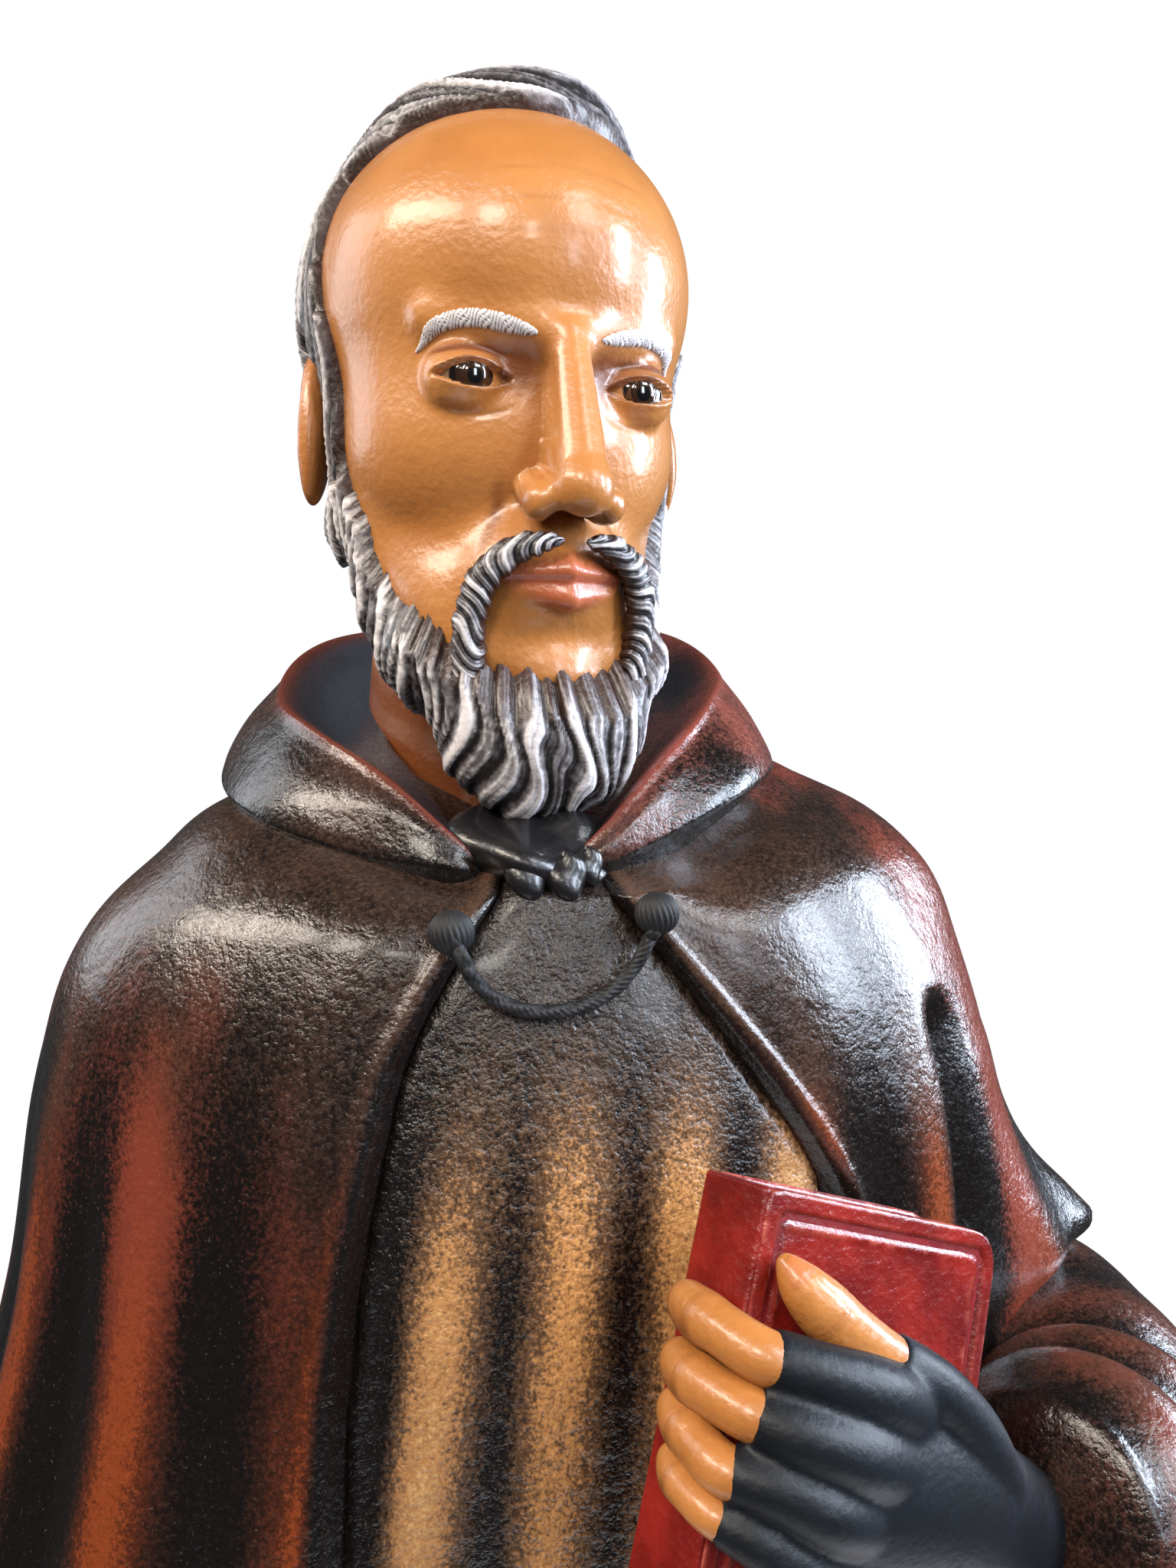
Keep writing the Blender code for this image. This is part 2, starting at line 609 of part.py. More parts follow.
def foot(side):
    turn = math.radians(9) * side
    out = []

    def at(x, y, z):
        c, s = math.cos(turn), math.sin(turn)
        return (side * 0.052 + c * x - s * y, -0.085 + s * x + c * y, z)

    out.append(tube("foot", [at(0, 0.08, 0.03), at(0, 0.02, 0.03), at(0, -0.03, 0.019),
                             at(0, -0.064, 0.012)],
                    (0.026, 0.027, 0.027, 0.024), 28, 30, squash=0.6))
    for i in range(5):
        spread = (i - 2) * 0.0096 * side
        reach = -0.066 + 0.0035 * abs(i - 1) ** 1.4
        out.append(ball("toe", at(-spread, reach, 0.0135), (0.0054, 0.013, 0.0066), 16, 12))
    out.append(tube("sole", [at(0, 0.08, 0.003), at(0, 0.0, 0.003), at(0, -0.05, 0.003),
                             at(0, -0.078, 0.003)],
                    (0.03, 0.032, 0.034, 0.026), 28, 30, squash=0.22))
    return out


def belt():
    """The rope belt across the cloak's opening, and its knotted end."""
    across = np.radians(np.linspace(-52, 52, 15))
    level = belt_level - 0.01 * np.cos(across)
    front = around(across, habit_radius(across, level) + 0.0035, level)
    tail_angle = np.full(12, math.radians(-16))
    drop = np.linspace(belt_level - 0.008, 0.34, 12)
    down = around(tail_angle, habit_radius(tail_angle, drop) + 0.004, drop)
    out = [
        tube("belt", front, [belt_width / 2] * 15, 14, 90),
        tube("tail", down, [belt_width * 0.42] * 12, 14, 60, up=(1, 0, 0)),
    ]
    for z in (0.56, 0.47, 0.38, belt_level - 0.01):
        spot = around(tail_angle[:1], habit_radius(tail_angle[:1], np.array([z])) + 0.005, np.array([z]))[0]
        out.append(ball("knot", spot, (0.0095, 0.008, 0.012), 18, 14))
    return out


def surface_at(x, z):
    """The front of the trunk at a place across and up, as a depth in y."""
    angle = math.atan2(x - middle[0], 0.09)
    for _ in range(20):
        r = float(trunk_radius(np.array([angle]), np.array([z]))[0])
        angle = math.atan2(x - middle[0], math.sqrt(max(r * r - (x - middle[0]) ** 2, 1e-6)))
    return -r * math.cos(angle)


def build_figure():
    forms = [
        form("habit", 260, 330, trunk(False)),
        form("cloak", 520, 300, trunk(True)),
        form("collar", 48, 160, collar_place),
        form("head", 240, 220, head_place),
        ear(-1), ear(1),
        ball("throat", (-0.006, -0.038, 0.958), (0.042, 0.036, 0.014)),
    ]
    forms += arm() + hand() + foot(-1) + foot(1) + belt()
    figure = join("figure", forms)
    remesh = figure.modifiers.new("skin", "REMESH")
    remesh.mode = "VOXEL"
    remesh.voxel_size = voxel
    solidify(figure)
    thin = figure.modifiers.new("thin", "DECIMATE")
    thin.ratio = figure_triangles / (2 * len(figure.data.polygons))
    solidify(figure)
    return figure


def new_object(name, bm):
    bmesh.ops.recalc_face_normals(bm, faces=bm.faces)
    mesh = bpy.data.meshes.new(name)
    bm.to_mesh(mesh)
    bm.free()
    thing = bpy.data.objects.new(name, mesh)
    bpy.context.scene.collection.objects.link(thing)
    return thing


def box(name, low, high):
    bm = bmesh.new()
    centre = (Vector(low) + Vector(high)) / 2
    size = Vector(high) - Vector(low)
    bmesh.ops.create_cube(bm, size=1, matrix=Matrix.Translation(centre) @ Matrix.Diagonal((*size, 1)))
    return new_object(name, bm)


def plinth():
    """Rounded rectangle with its upper and lower edges eased."""
    bm = bmesh.new()
    corners = []
    for quarter in range(4):
        sx, sy = ((1, 1), (-1, 1), (-1, -1), (1, -1))[quarter]
        for k in range(7):
            a = math.radians(90 * quarter + 15 * k)
            corners.append(bm.verts.new((
                sx * (base_width / 2 - base_corner) + base_corner * math.cos(a),
                sy * (base_depth / 2 - base_corner) + base_corner * math.sin(a), 0)))
    face = bm.faces.new(corners)
    raised = bmesh.ops.extrude_face_region(bm, geom=[face])["geom"]
    for vert in (part for part in raised if isinstance(part, bmesh.types.BMVert)):
        vert.co.z = base_height
    rims = [edge for edge in bm.edges if abs(edge.verts[0].co.z - edge.verts[1].co.z) < 1e-6]
    bmesh.ops.bevel(bm, geom=rims, offset=base_edge, segments=3, profile=0.5, affect="EDGES", material=-1)
    return new_object("base", bm)


def eye_shape(name, side, spare, deep):
    """An eye's ball, kept to the opening between the lids: the glass, or the pocket for it."""
    def place(u, v):
        a = u * 2 * np.pi
        rim = np.clip(np.minimum(v, 1 - v) * 6, 0, 1)
        rim = np.sin(rim * np.pi / 2)
        x = (eye_half_width + spare) * np.cos(a) * rim
        z = (eye_half_height + spare) * np.sin(a) * rim
        dome = np.sqrt(np.clip(eye_radius**2 - x**2 * 0.8 - z**2, 1, None))
        front = -(dome if not spare else dome + 14)
        y = np.where(v > 0.5, front, deep)
        return to_figure(np.stack([side * eye_apart + x, eye_deep + y, z], 1))

    return form(name, 20, 12, place)


def knob_place(x, z):
    angle = math.atan2(x - middle[0], 0.09)
    y = surface_at(x, z)
    return Vector((x, y - knob_radius * 0.45, z))


def to_world(point):
    return Vector(point) * unit + Vector((0, 0, lift))


def cord():
    """A short cord hanging between the knobs, clear of the cloak and the habit."""
    spots = [knob_place(*knob_left), knob_place(*knob_right)]
    bows = []
    for k in range(21):
        t = k / 20
        at = spots[0].lerp(spots[1], t)
        at.z -= cord_sag * 4 * t * (1 - t)
        at.x += 0.004 * math.sin(2 * math.pi * t) * -1
        clear_of = min(surface_at(at.x, at.z + dz) for dz in (-0.003, 0, 0.003)) - cord_width / 2 - 0.0016
        at.y = min(clear_of, at.y)
        bows.append(at)
    smooth = []
    for k, at in enumerate(bows):
        near = bows[max(0, k - 2):k + 3]
        level = sum((p.y for p in near), 0.0) / len(near)
        smooth.append(Vector((at.x, min(level, at.y + 0.0006), at.z)))
    keep = [p for p in smooth
            if min((p - spot).length for spot in spots) > knob_radius + fit_gap + cord_width * 0.1]
    line = bpy.data.curves.new("cloak_cord", "CURVE")
    line.dimensions = "3D"
    line.bevel_depth = cord_width / 2 * 1.0
    line.bevel_resolution = 2
    line.use_fill_caps = True
    path = line.splines.new("POLY")
    path.points.add(len(keep) - 1)
    for point, at in zip(path.points, keep):
        point.co = (*to_world(at), 1)
    thing = bpy.data.objects.new("cloak_cord", line)
    bpy.context.scene.collection.objects.link(thing)
    return thing


clear()
figure = build_figure()
for tool in (
    slab("board", 0, book_width * 1000, -book_length * 1000, 0, -book_board * 1000, 0, 0.0008),
    slab("back_board", 0, book_width * 1000, -book_length * 1000, 0, -book_thick * 1000,
         (book_board - book_thick) * 1000, 0.0008),
    slab("spine", -1, 4, -book_length * 1000, 0, -book_thick * 1000 + 0.4, -0.4, 0.0012),
    slab("pages", 1, (book_width - book_inset) * 1000, (book_inset - book_length) * 1000,
         -book_inset * 1000, -book_thick * 1000 + 1, -1),
):
    cut(figure, tool, "UNION")
cut(figure, box("ground", (-1, -1, -0.1), (1, 1, 0)))

eyes = []
for side, name in ((1, "eye_left"), (-1, "eye_right")):
    cut(figure, eye_shape("socket", side, 0.4, -2.2))
    eyes.append(eye_shape(name, side, 0, -2.6))
    place_in_world(eyes[-1])

knobs = []
for spot, name in ((knob_right, "cord_knob_left"), (knob_left, "cord_knob_right")):
    at = knob_place(*spot)
    cut(figure, ball("pocket", at, (knob_radius + fit_gap,) * 3, 14, 10))
    knobs.append(place_in_world(ball(name, at, (knob_radius,) * 3, 14, 10)))

place_in_world(figure)
base = plinth()
string = cord()

paint(figure, "painted_fibreglass", (0.13, 0.07, 0.045), 0.35)
paint(base, "painted_base", (0.05, 0.045, 0.04), 0.4)
for eye in eyes:
    paint(eye, "eye_glass", (0.08, 0.04, 0.025), 0.05)
for knob in knobs:
    paint(knob, "black_knob", (0.012, 0.012, 0.014), 0.5)
paint(string, "black_cord", (0.012, 0.012, 0.014), 0.8)
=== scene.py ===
"""How the church figure looks: carved and painted pieces on the CAD's forms, and the photograph's view."""

import math

import bmesh
import bpy
import numpy as np
from mathutils import Matrix, Vector


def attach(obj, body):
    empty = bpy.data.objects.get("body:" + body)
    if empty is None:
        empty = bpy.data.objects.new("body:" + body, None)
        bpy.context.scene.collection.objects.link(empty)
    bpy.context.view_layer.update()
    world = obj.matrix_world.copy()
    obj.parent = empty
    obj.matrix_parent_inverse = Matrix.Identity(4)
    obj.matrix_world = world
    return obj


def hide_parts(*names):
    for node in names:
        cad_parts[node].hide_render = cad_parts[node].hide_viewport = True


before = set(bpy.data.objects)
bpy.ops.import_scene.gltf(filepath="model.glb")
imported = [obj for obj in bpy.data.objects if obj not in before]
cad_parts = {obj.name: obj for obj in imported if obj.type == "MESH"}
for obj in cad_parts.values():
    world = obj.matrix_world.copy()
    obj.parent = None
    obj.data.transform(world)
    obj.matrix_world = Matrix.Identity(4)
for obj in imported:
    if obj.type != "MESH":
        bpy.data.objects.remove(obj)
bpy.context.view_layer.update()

# the figure's own numbers, the same as in the CAD source
total_height = 1.25
base_height = 0.05
base_width = 0.45
base_depth = 0.37
base_edge = 0.008
base_corner = 0.05
fit_gap = 0.0003
figure_height = total_height - base_height - fit_gap
head_scale = 0.00079
head_turn = math.radians(7)
head_bow = math.radians(7)
head_at = np.array([-0.008, -0.006, 1.104])
eye_apart = 32.0
eye_deep = -69.5
eye_radius = 12.6
cloak_wall = 0.009
cloak_hem = 0.29
groove_turn = 58.5
knob_radius = 0.006
knob_left = (-0.035, 0.947)
knob_right = (0.0205, 0.95)
cord_width = 0.004
cord_sag = 0.0235
belt_level = 0.69
belt_width = 0.012
book_width = 0.084
book_length = 0.125
book_thick = 0.024
book_board = 0.003
book_inset = 0.003
book_corner = (0.0335, -0.1435, 0.8925)
book_turn = math.radians(19)
book_lean = math.radians(7.3)
book_roll = math.radians(20.4)
unit = figure_height / 1.2
lift = base_height + fit_gap
middle = np.array([0.004, 0.0])
neck_line = (0.953, 0.957, 0.971, 0.985, 0.99, 0.992)

TAU = 2 * np.pi
tiny = 1e-6
below_neck = 0.88  # the share of the trunk's rows that lie below the neck line
hair_rows = 0.95  # the share of the hair's rows that show
beard_rows = 0.96
upper_lip = ((0, -98.5, -65), (20, -90, -67), 4.6, 3)
lower_lip = ((0, -97.5, -74), (17, -89, -72), 5.2, 3)


# shapes
def curve(x, xs, ys):
    """A smooth line through a few stations."""
    xs, ys = np.asarray(xs, float), np.asarray(ys, float)
    x = np.clip(x, xs[0], xs[-1])
    slope = np.gradient(ys, xs)
    i = np.clip(np.searchsorted(xs, x) - 1, 0, len(xs) - 2)
    wide = xs[i + 1] - xs[i]
    t = (x - xs[i]) / wide
    return (
        (2 * t**3 - 3 * t**2 + 1) * ys[i]
        + (t**3 - 2 * t**2 + t) * wide * slope[i]
        + (3 * t**2 - 2 * t**3) * ys[i + 1]
        + (t**3 - t**2) * wide * slope[i + 1]
    )


def step(x, low, high):
    t = np.clip((x - low) / (high - low), 0, 1)
    return t * t * (3 - 2 * t)


def ridges(phase, soft=0.6):
    return (0.5 + 0.5 * np.cos(phase)) ** soft


def bell(x, wide):
    """A soft bump, 1 where x is 0."""
    return np.exp(-((x / wide) ** 2))


def bell2(x, wide, z, tall):
    return np.exp(-((x / wide) ** 2) - (z / tall) ** 2)


def rounded(share):
    """How far a quarter-round edge falls back, from 1 at the edge to 0."""
    return 1 - np.sqrt(np.clip(1 - (1 - np.clip(share, 0, 1)) ** 2, 0, 1))


def unit_rows(rows):
    return rows / np.linalg.norm(rows, axis=1)[:, None]


def sided(name, side):
    return name + ("_left" if side > 0 else "_right")


def to_world(p):
    return np.asarray(p, float) * unit + np.array([0, 0, lift])


def piece(name, bm):
    mesh = bpy.data.meshes.new(name)
    bm.to_mesh(mesh)
    bm.free()
    for face in mesh.polygons:
        face.use_smooth = True
    thing = bpy.data.objects.new(name, mesh)
    bpy.context.scene.collection.objects.link(thing)
    return thing


def form(name, columns, rows, place, full=False):
    """A closed surface from a grid, in the world's frame. place gives the points and named values."""
    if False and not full:
        columns, rows = max(12, columns // 2), max(10, rows // 2)
    bm = bmesh.new()
    bmesh.ops.create_grid(bm, x_segments=columns, y_segments=rows, size=1)
    mesh = bpy.data.meshes.new("grid")
    bm.to_mesh(mesh)
    bm.free()
    flat = np.empty(len(mesh.vertices) * 3)
    mesh.vertices.foreach_get("co", flat)
    flat = flat.reshape(-1, 3)
    u, v = (flat[:, 0] + 1) / 2, (flat[:, 1] + 1) / 2
    u = np.where(u > 1 - tiny, 0.0, u)
    made = place(u, v)
    at, values = made if isinstance(made, tuple) else (made, {})
    at = to_world(at)
    for end in (v < tiny, v > 1 - tiny):
        at[end] = at[end].mean(axis=0)
    mesh.vertices.foreach_set("co", at.reshape(-1))
    for key, value in values.items():
        layer = mesh.attributes.new(key, "FLOAT", "POINT")
        layer.data.foreach_set("value", np.ascontiguousarray(value, np.float32))
    bm = bmesh.new()
    bm.from_mesh(mesh)
    bpy.data.meshes.remove(mesh)
    bmesh.ops.remove_doubles(bm, verts=bm.verts, dist=tiny)
    bmesh.ops.recalc_face_normals(bm, faces=bm.faces)
    return piece(name, bm)


def along(points):
    points = np.asarray(points, float)
    length = np.concatenate([[0], np.cumsum(np.linalg.norm(np.diff(points, axis=0), axis=1))])
    return points, length / length[-1]


def on_line(points, length, v):
    return np.stack([curve(v, length, points[:, i]) for i in range(3)], 1)


def heading(points, length, v, reach=0.01):
    """The unit direction of a smooth line at each place along it."""
    return unit_rows(on_line(points, length, v + reach) - on_line(points, length, v - reach))


def across(points, length, v, up):
    """Two unit directions across a line, the first also across up."""
    way = heading(points, length, v)
    side = unit_rows(np.cross(way, np.asarray(up, float)))
    return side, np.cross(side, way)


def tube(name, points, radii, columns=28, rows=40, squash=1.0, up=(0, 0, 1), relief=None, dome=8):
    """A section swept along a smooth line; relief(a, v) is added to its radius."""
    points, length = along(points)

    def place(u, v):
        ends = np.sqrt(np.clip(1 - (2 * np.clip(v, 0, 1) - 1) ** dome, 0, 1))
        at = on_line(points, length, v)
        side, over = across(points, length, v, up)
        a = u * TAU
        r = curve(v, length, radii)
        extra = {}
        if relief:
            more = relief(a, v)
            more, extra = more if isinstance(more, tuple) else (more, {})
            r = r + more
        r = (r * ends)[:, None]
        a = a[:, None]
        at = at + r * (np.cos(a) * side + squash * np.sin(a) * over)
        return at, extra

    return form(name, columns, rows, place)


def globe(u, v):
    """The turn, rise and direction of each place on a ball."""
    a, e = u * TAU, (v - 0.5) * np.pi
    return a, e, np.stack([np.cos(a) * np.cos(e), np.sin(a) * np.cos(e), np.sin(e)], 1)


def ball(name, centre, radii, columns=40, rows=30, relief=None):
    def place(u, v):
        a, e, way = globe(u, v)
        r = 1 + (relief(a, e, way) if relief else 0)
        r = np.reshape(r, (-1, 1) if np.ndim(r) else ())
        return np.asarray(centre, float) + way * np.asarray(radii, float) * r

    return form(name, columns, rows, place)


# the trunk
def habit_width(z):
    return curve(z, (0, 0.12, 0.28, 0.6, 0.83, 0.9, 0.945, 0.96, 0.975, 0.985),
                 (0.162, 0.158, 0.163, 0.164, 0.157, 0.15, 0.132, 0.12, 0.103, 0.082))


def cloak_width(z):
    return curve(z, (0.2, 0.28, 0.6, 0.83, 0.9, 0.945, 0.96, 0.975, 0.985),
                 (0.178, 0.176, 0.166, 0.157, 0.15, 0.132, 0.12, 0.103, 0.082)) + cloak_wall


def front_depth(z):
    return curve(z, (0, 0.3, 0.5, 0.7, 0.8, 0.86, 0.9, 0.93, 0.95, 0.97),
                 (0.122, 0.116, 0.108, 0.106, 0.104, 0.101, 0.096, 0.0895, 0.083, 0.075))


def back_depth(z):
    return curve(z, (0, 0.3, 0.6, 0.85, 0.93, 0.97, 0.99),
                 (0.125, 0.124, 0.105, 0.1, 0.094, 0.084, 0.072))


def oval(angle, wide, front, back):
    n = 2.15
    deep = np.where(np.cos(angle) > 0, front, back)
    return ((np.abs(np.sin(angle)) / wide) ** n + (np.abs(np.cos(angle)) / deep) ** n) ** (-1 / n)


def habit_folds(angle, z):
    deg = np.degrees(angle)
    lean = 4.5 * (0.9 - z) / 0.1
    bend = (5 * np.sin(2 * angle + 0.9) * step(np.abs(deg), 20, 60)
            + 2.5 * np.sin(7 * z + 3 * angle) * step(-z, -0.7, -0.5))
    folds = ridges(np.radians((deg + 3 + np.clip(lean, -3, 6) + bend) * 360 / 18), 0.7) - 0.5
    return folds * (0.78 + 0.3 * np.sin(5 * angle + 6 * z))


def habit_radius(angle, z):
    grow = step(-z, -0.92, -0.8) * (0.0035 + 0.007 * step(-z, -0.8, -0.1))
    grow = grow * (1 - 0.55 * bell(z - belt_level, 0.03))
    return oval(angle, habit_width(z), front_depth(z), back_depth(z)) + grow * habit_folds(angle, z)


def cloak_folds(angle, z):
    deg = np.degrees(angle)
    bend = 4 * np.sin(3 * angle + 2.7) + 1.6 * np.sin(9 * z + 2 * angle) * step(-z, -0.85, -0.6)
    folds = ridges(np.radians((deg + 39 + bend * step(np.abs(deg), 55, 95)) * 20)) - 0.55
    return folds * (0.8 + 0.35 * np.sin(3 * angle + 5 * z + 1.2))


def raised_side(deg):
    """The side of the raised left arm, from the front to the back of the shoulder."""
    return step(deg, 60, 72) * step(-deg, -132, -100)


def cloak_radius(angle, z):
    deg = np.degrees(angle)
    grow = step(-z, -0.94, -0.77) * (0.006 + 0.007 * step(-z, -0.77, -0.3))
    grow = grow * (1 - 0.75 * step(deg, 50, 58) * step(-deg, -125, -110) * step(z, 0.8, 0.84))
    arm = 0.012 * bell2(deg + 78, 26, z - 0.74, 0.07)
    flare = 0.006 * step(-z, -0.45, -0.3)
    lobe = curve(z, (0.72, 0.77, 0.81, 0.845, 0.875, 0.9, 0.93, 0.955, 0.97),
                 (0, 0.001, 0.003, 0.002, 0.0, 0.001, 0.001, 0.005, 0.004)) * raised_side(deg)
    point = curve(z, (0.795, 0.81, 0.82, 0.83, 0.845, 0.87, 0.9), (0, 0.016, 0.034, 0.029, 0.017, 0.006, 0))
    point = point * bell(deg - 82, curve(z, (0.8, 0.82, 0.85, 0.9), (15, 13, 16, 24)))
    point = point * (1 + 0.1 * np.cos(np.radians((deg - 82) * 26)) * step(z, 0.8, 0.82)
                     * step(-z, -0.87, -0.84))
    slope = curve(z, (0.78, 0.84, 0.87, 0.89, 0.93, 0.947, 0.96, 0.975),
                  (0, -0.003, -0.004, -0.004, -0.003, -0.0045, -0.008, -0.008))
    slope = slope * step(-deg, 35, 60) * step(deg, -150, -115)
    groove = -0.009 * bell(deg - groove_turn, 2.6)
    groove = groove * step(-z, -0.921, -0.905) * step(z, 0.82, 0.85)
    wall = oval(angle, cloak_width(z), front_depth(z) + cloak_wall, back_depth(z) + cloak_wall)
    return wall + grow * cloak_folds(angle, z) + arm + flare + lobe + point + slope + groove


def cloak_edge_left(z):
    return -curve(z, (0.28, 0.6, 0.78, 0.864, 0.893, 0.913, 0.929, 0.943, 0.957, 0.97),
                  (40, 38.5, 36.7, 33.9, 31.7, 29.7, 25.8, 21.5, 16.4, 14))


def cloak_edge_right(z):
    return curve(z, (0.28, 0.6, 0.78, 0.871, 0.896, 0.921, 0.941, 0.957, 0.97),
                 (42, 42, 41, 36, 29, 20, 11.6, 3.9, 0))


def cloak_share(angle, z):
    deg = np.degrees(angle)
    return 1 - np.minimum(step(deg - cloak_edge_left(z), -0.55, 0.55),
                          step(cloak_edge_right(z) - deg, -0.55, 0.55))


def trunk_radius(angle, z):
    share = cloak_share(angle, z)
    return habit_radius(angle, z) * (1 - share) + cloak_radius(angle, z) * share


def around(angle, radius, z):
    return np.stack([middle[0] + radius * np.sin(angle), middle[1] - radius * np.cos(angle), z], 1)


def surface_at(x, z):
    angle = math.atan2(x - middle[0], 0.09)
    for _ in range(20):
        r = float(trunk_radius(np.array([angle]), np.array([z]))[0])
        angle = math.atan2(x - middle[0], math.sqrt(max(r * r - (x - middle[0]) ** 2, tiny)))
    return -r * math.cos(angle)


def shut(v, angle):
    """How a row of the trunk rises to the neck line and closes over its top."""
    deg = np.abs(np.degrees(angle))
    top = curve(deg, (0, 30, 60, 90, 135, 180), neck_line)
    level = 1 - (1 - np.clip(v / below_neck, 0, 1)) ** 1.35
    cap = np.clip((v - below_neck) / (1 - below_neck), 0, 1) ** 1.4
    swell = curve(deg, (0, 30, 60, 90, 135, 180), (0.005, 0.008, 0.014, 0.015, 0.013, 0.012))
    turned = np.degrees(angle)
    swell = swell * (1 - 0.5 * step(np.abs(turned), 25, 60) * step(-np.abs(turned), -150, -110))
    top = top + 0.005 * bell(turned - 42, 18)
    return top, level, cap, swell * np.sin(np.pi * np.clip(cap / 0.5, 0, 1))


def turned_in(z, top, deg, size=0.018):
    """How far the front of a shoulder rounds inwards below the neck line."""
    rise = np.clip((z - top + size) / size, 0, 1)
    where = step(np.abs(deg), 12, 30) * step(-np.abs(deg), -90, -70)
    return size * (1 - np.sqrt(np.clip(1 - rise**2, 0, 1))) * where


def habit_place(u, v):
    s = (u - 0.5) * TAU
    angle = s - 0.72 * np.sin(s)
    top, level, cap, swell = shut(v, angle)
    z = 0.0003 + (top - 0.0003) * level
    under = cloak_share(angle, z) * step(z, 0.3, 0.33)
    r = (habit_radius(angle, z) - 0.0002 - 0.007 * under - turned_in(z, top, np.degrees(angle))) * (1 - cap)
    ridge = 0.5 + habit_folds(angle, z)
    soft = step(-z, -0.93, -0.84)
    return (around(angle, r, z + swell * (1 - 0.6 * under)),
            {"ridge": ridge * soft + 0.35 * (1 - soft),
             "lit": step(-z, -0.935, -0.87) * (0.75 + 0.25 * np.sin(9 * z + 4 * angle))})


def cloak_place(u, v):
    """The cloak from edge to edge round the back, with rolled edges; its opening lies inside the habit."""
    seam = 0.035
    outside = (u >= seam) & (u <= 1 - seam)
    q = np.clip((u - seam) / (1 - 2 * seam), 0, 1)
    w = q - 0.8 * np.sin(TAU * q) / TAU
    z = cloak_hem + (0.97 - cloak_hem) * np.clip(v / below_neck, 0, 1)
    for _ in range(3):
        left, right = np.radians(cloak_edge_left(z)), np.radians(cloak_edge_right(z))
        angle = left - (TAU - (right - left)) * w
        turned = np.arctan2(np.sin(angle), np.cos(angle))
        top, level, cap, swell = shut(v, turned)
        z = cloak_hem + (top - cloak_hem) * level
    inner_way = np.where(u < seam, u / seam, (u - 1) / seam)
    mid = (left + right) / 2
    front = np.where(u < seam, mid + (left - mid) * inner_way, mid + (right - mid) * -inner_way)
    turned = np.where(outside, turned, front)
    radius = cloak_radius(turned, z)
    gap = np.minimum(w, 1 - w) * (TAU - (right - left)) * radius
    radius = radius - 0.004 * bell(gap, 0.02)
    roll = 0.0028
    radius = radius - roll * rounded(gap / roll)
    radius = radius - 0.0025 * rounded((z - cloak_hem) / 0.004)
    lip = 0.0009 * bell(gap - 0.0045, 0.0022)
    r = np.where(outside, radius + lip, habit_radius(turned, z) - 0.009)
    ridge = 0.55 + cloak_folds(turned, z)
    ridge = np.clip(ridge, 0, 1.2) ** 2.6
    soft = step(-z, -0.95, -0.84)
    deg = np.degrees(turned)
    # painted shade in the groove down the drape
    groove = bell(deg - groove_turn, 3.2) * step(-z, -0.925, -0.905) * step(z, 0.81, 0.85)
    blush = step(deg, 52, 66) * step(-deg, -135, -90) + 0.8 * bell(deg - 64, 5) * step(z, 0.8, 0.85)
    blush = np.clip(blush + 1.1 * bell2(deg + 66, 26, z - 0.885, 0.045), 0, 1)
    # painted shade on the rolled edge of the opening
    edge = bell(gap, 0.0022) * outside
    r = r - turned_in(z, top, deg)
    out = around(turned, (r - 0.0002) * (1 - cap), z + swell * outside)
    # a painted highlight on the band just inside the rolled edge, painted shade on the edge itself and in
    # the groove
    ridge = ridge * soft + 0.5 * (1 - soft) + 0.3 * bell(gap - 0.005, 0.003) - 0.6 * edge - 0.9 * groove
    return out, {"ridge": np.clip(ridge, 0, 1.1), "lit": step(-z, -0.93, -0.86), "blush": blush}


# the collar
def collar_ring(deg):
    far = np.abs(deg)
    stations = (0, 12, 33, 60, 90, 135, 180)
    crest_r = curve(far, stations, (0.078, 0.077, 0.072, 0.071, 0.074, 0.081, 0.078))
    crest_z = curve(far, stations, (0.966, 0.972, 0.987, 1.0, 1.011, 1.034, 1.043))
    edge_r = curve(far, (0, 12, 33, 49, 90, 135, 180), (0.084, 0.084, 0.083, 0.087, 0.093, 0.101, 0.1))
    edge_z = curve(far, (0, 12, 33, 49, 90, 135, 180), (0.957, 0.96, 0.965, 0.971, 0.986, 0.999, 1.003))
    crest_z = crest_z + curve(deg, (20, 49, 75, 90, 110, 135, 170),
                              (0, 0.005, 0.009, 0.009, 0.008, 0.005, 0))
    edge_z = edge_z + curve(deg, (8, 20, 33, 49, 60, 90, 150), (0, 0.002, 0.006, 0.0095, 0.01, 0.004, 0))
    return crest_r, crest_z, edge_r, edge_z


collar_from, collar_to = math.radians(-15), math.radians(5)


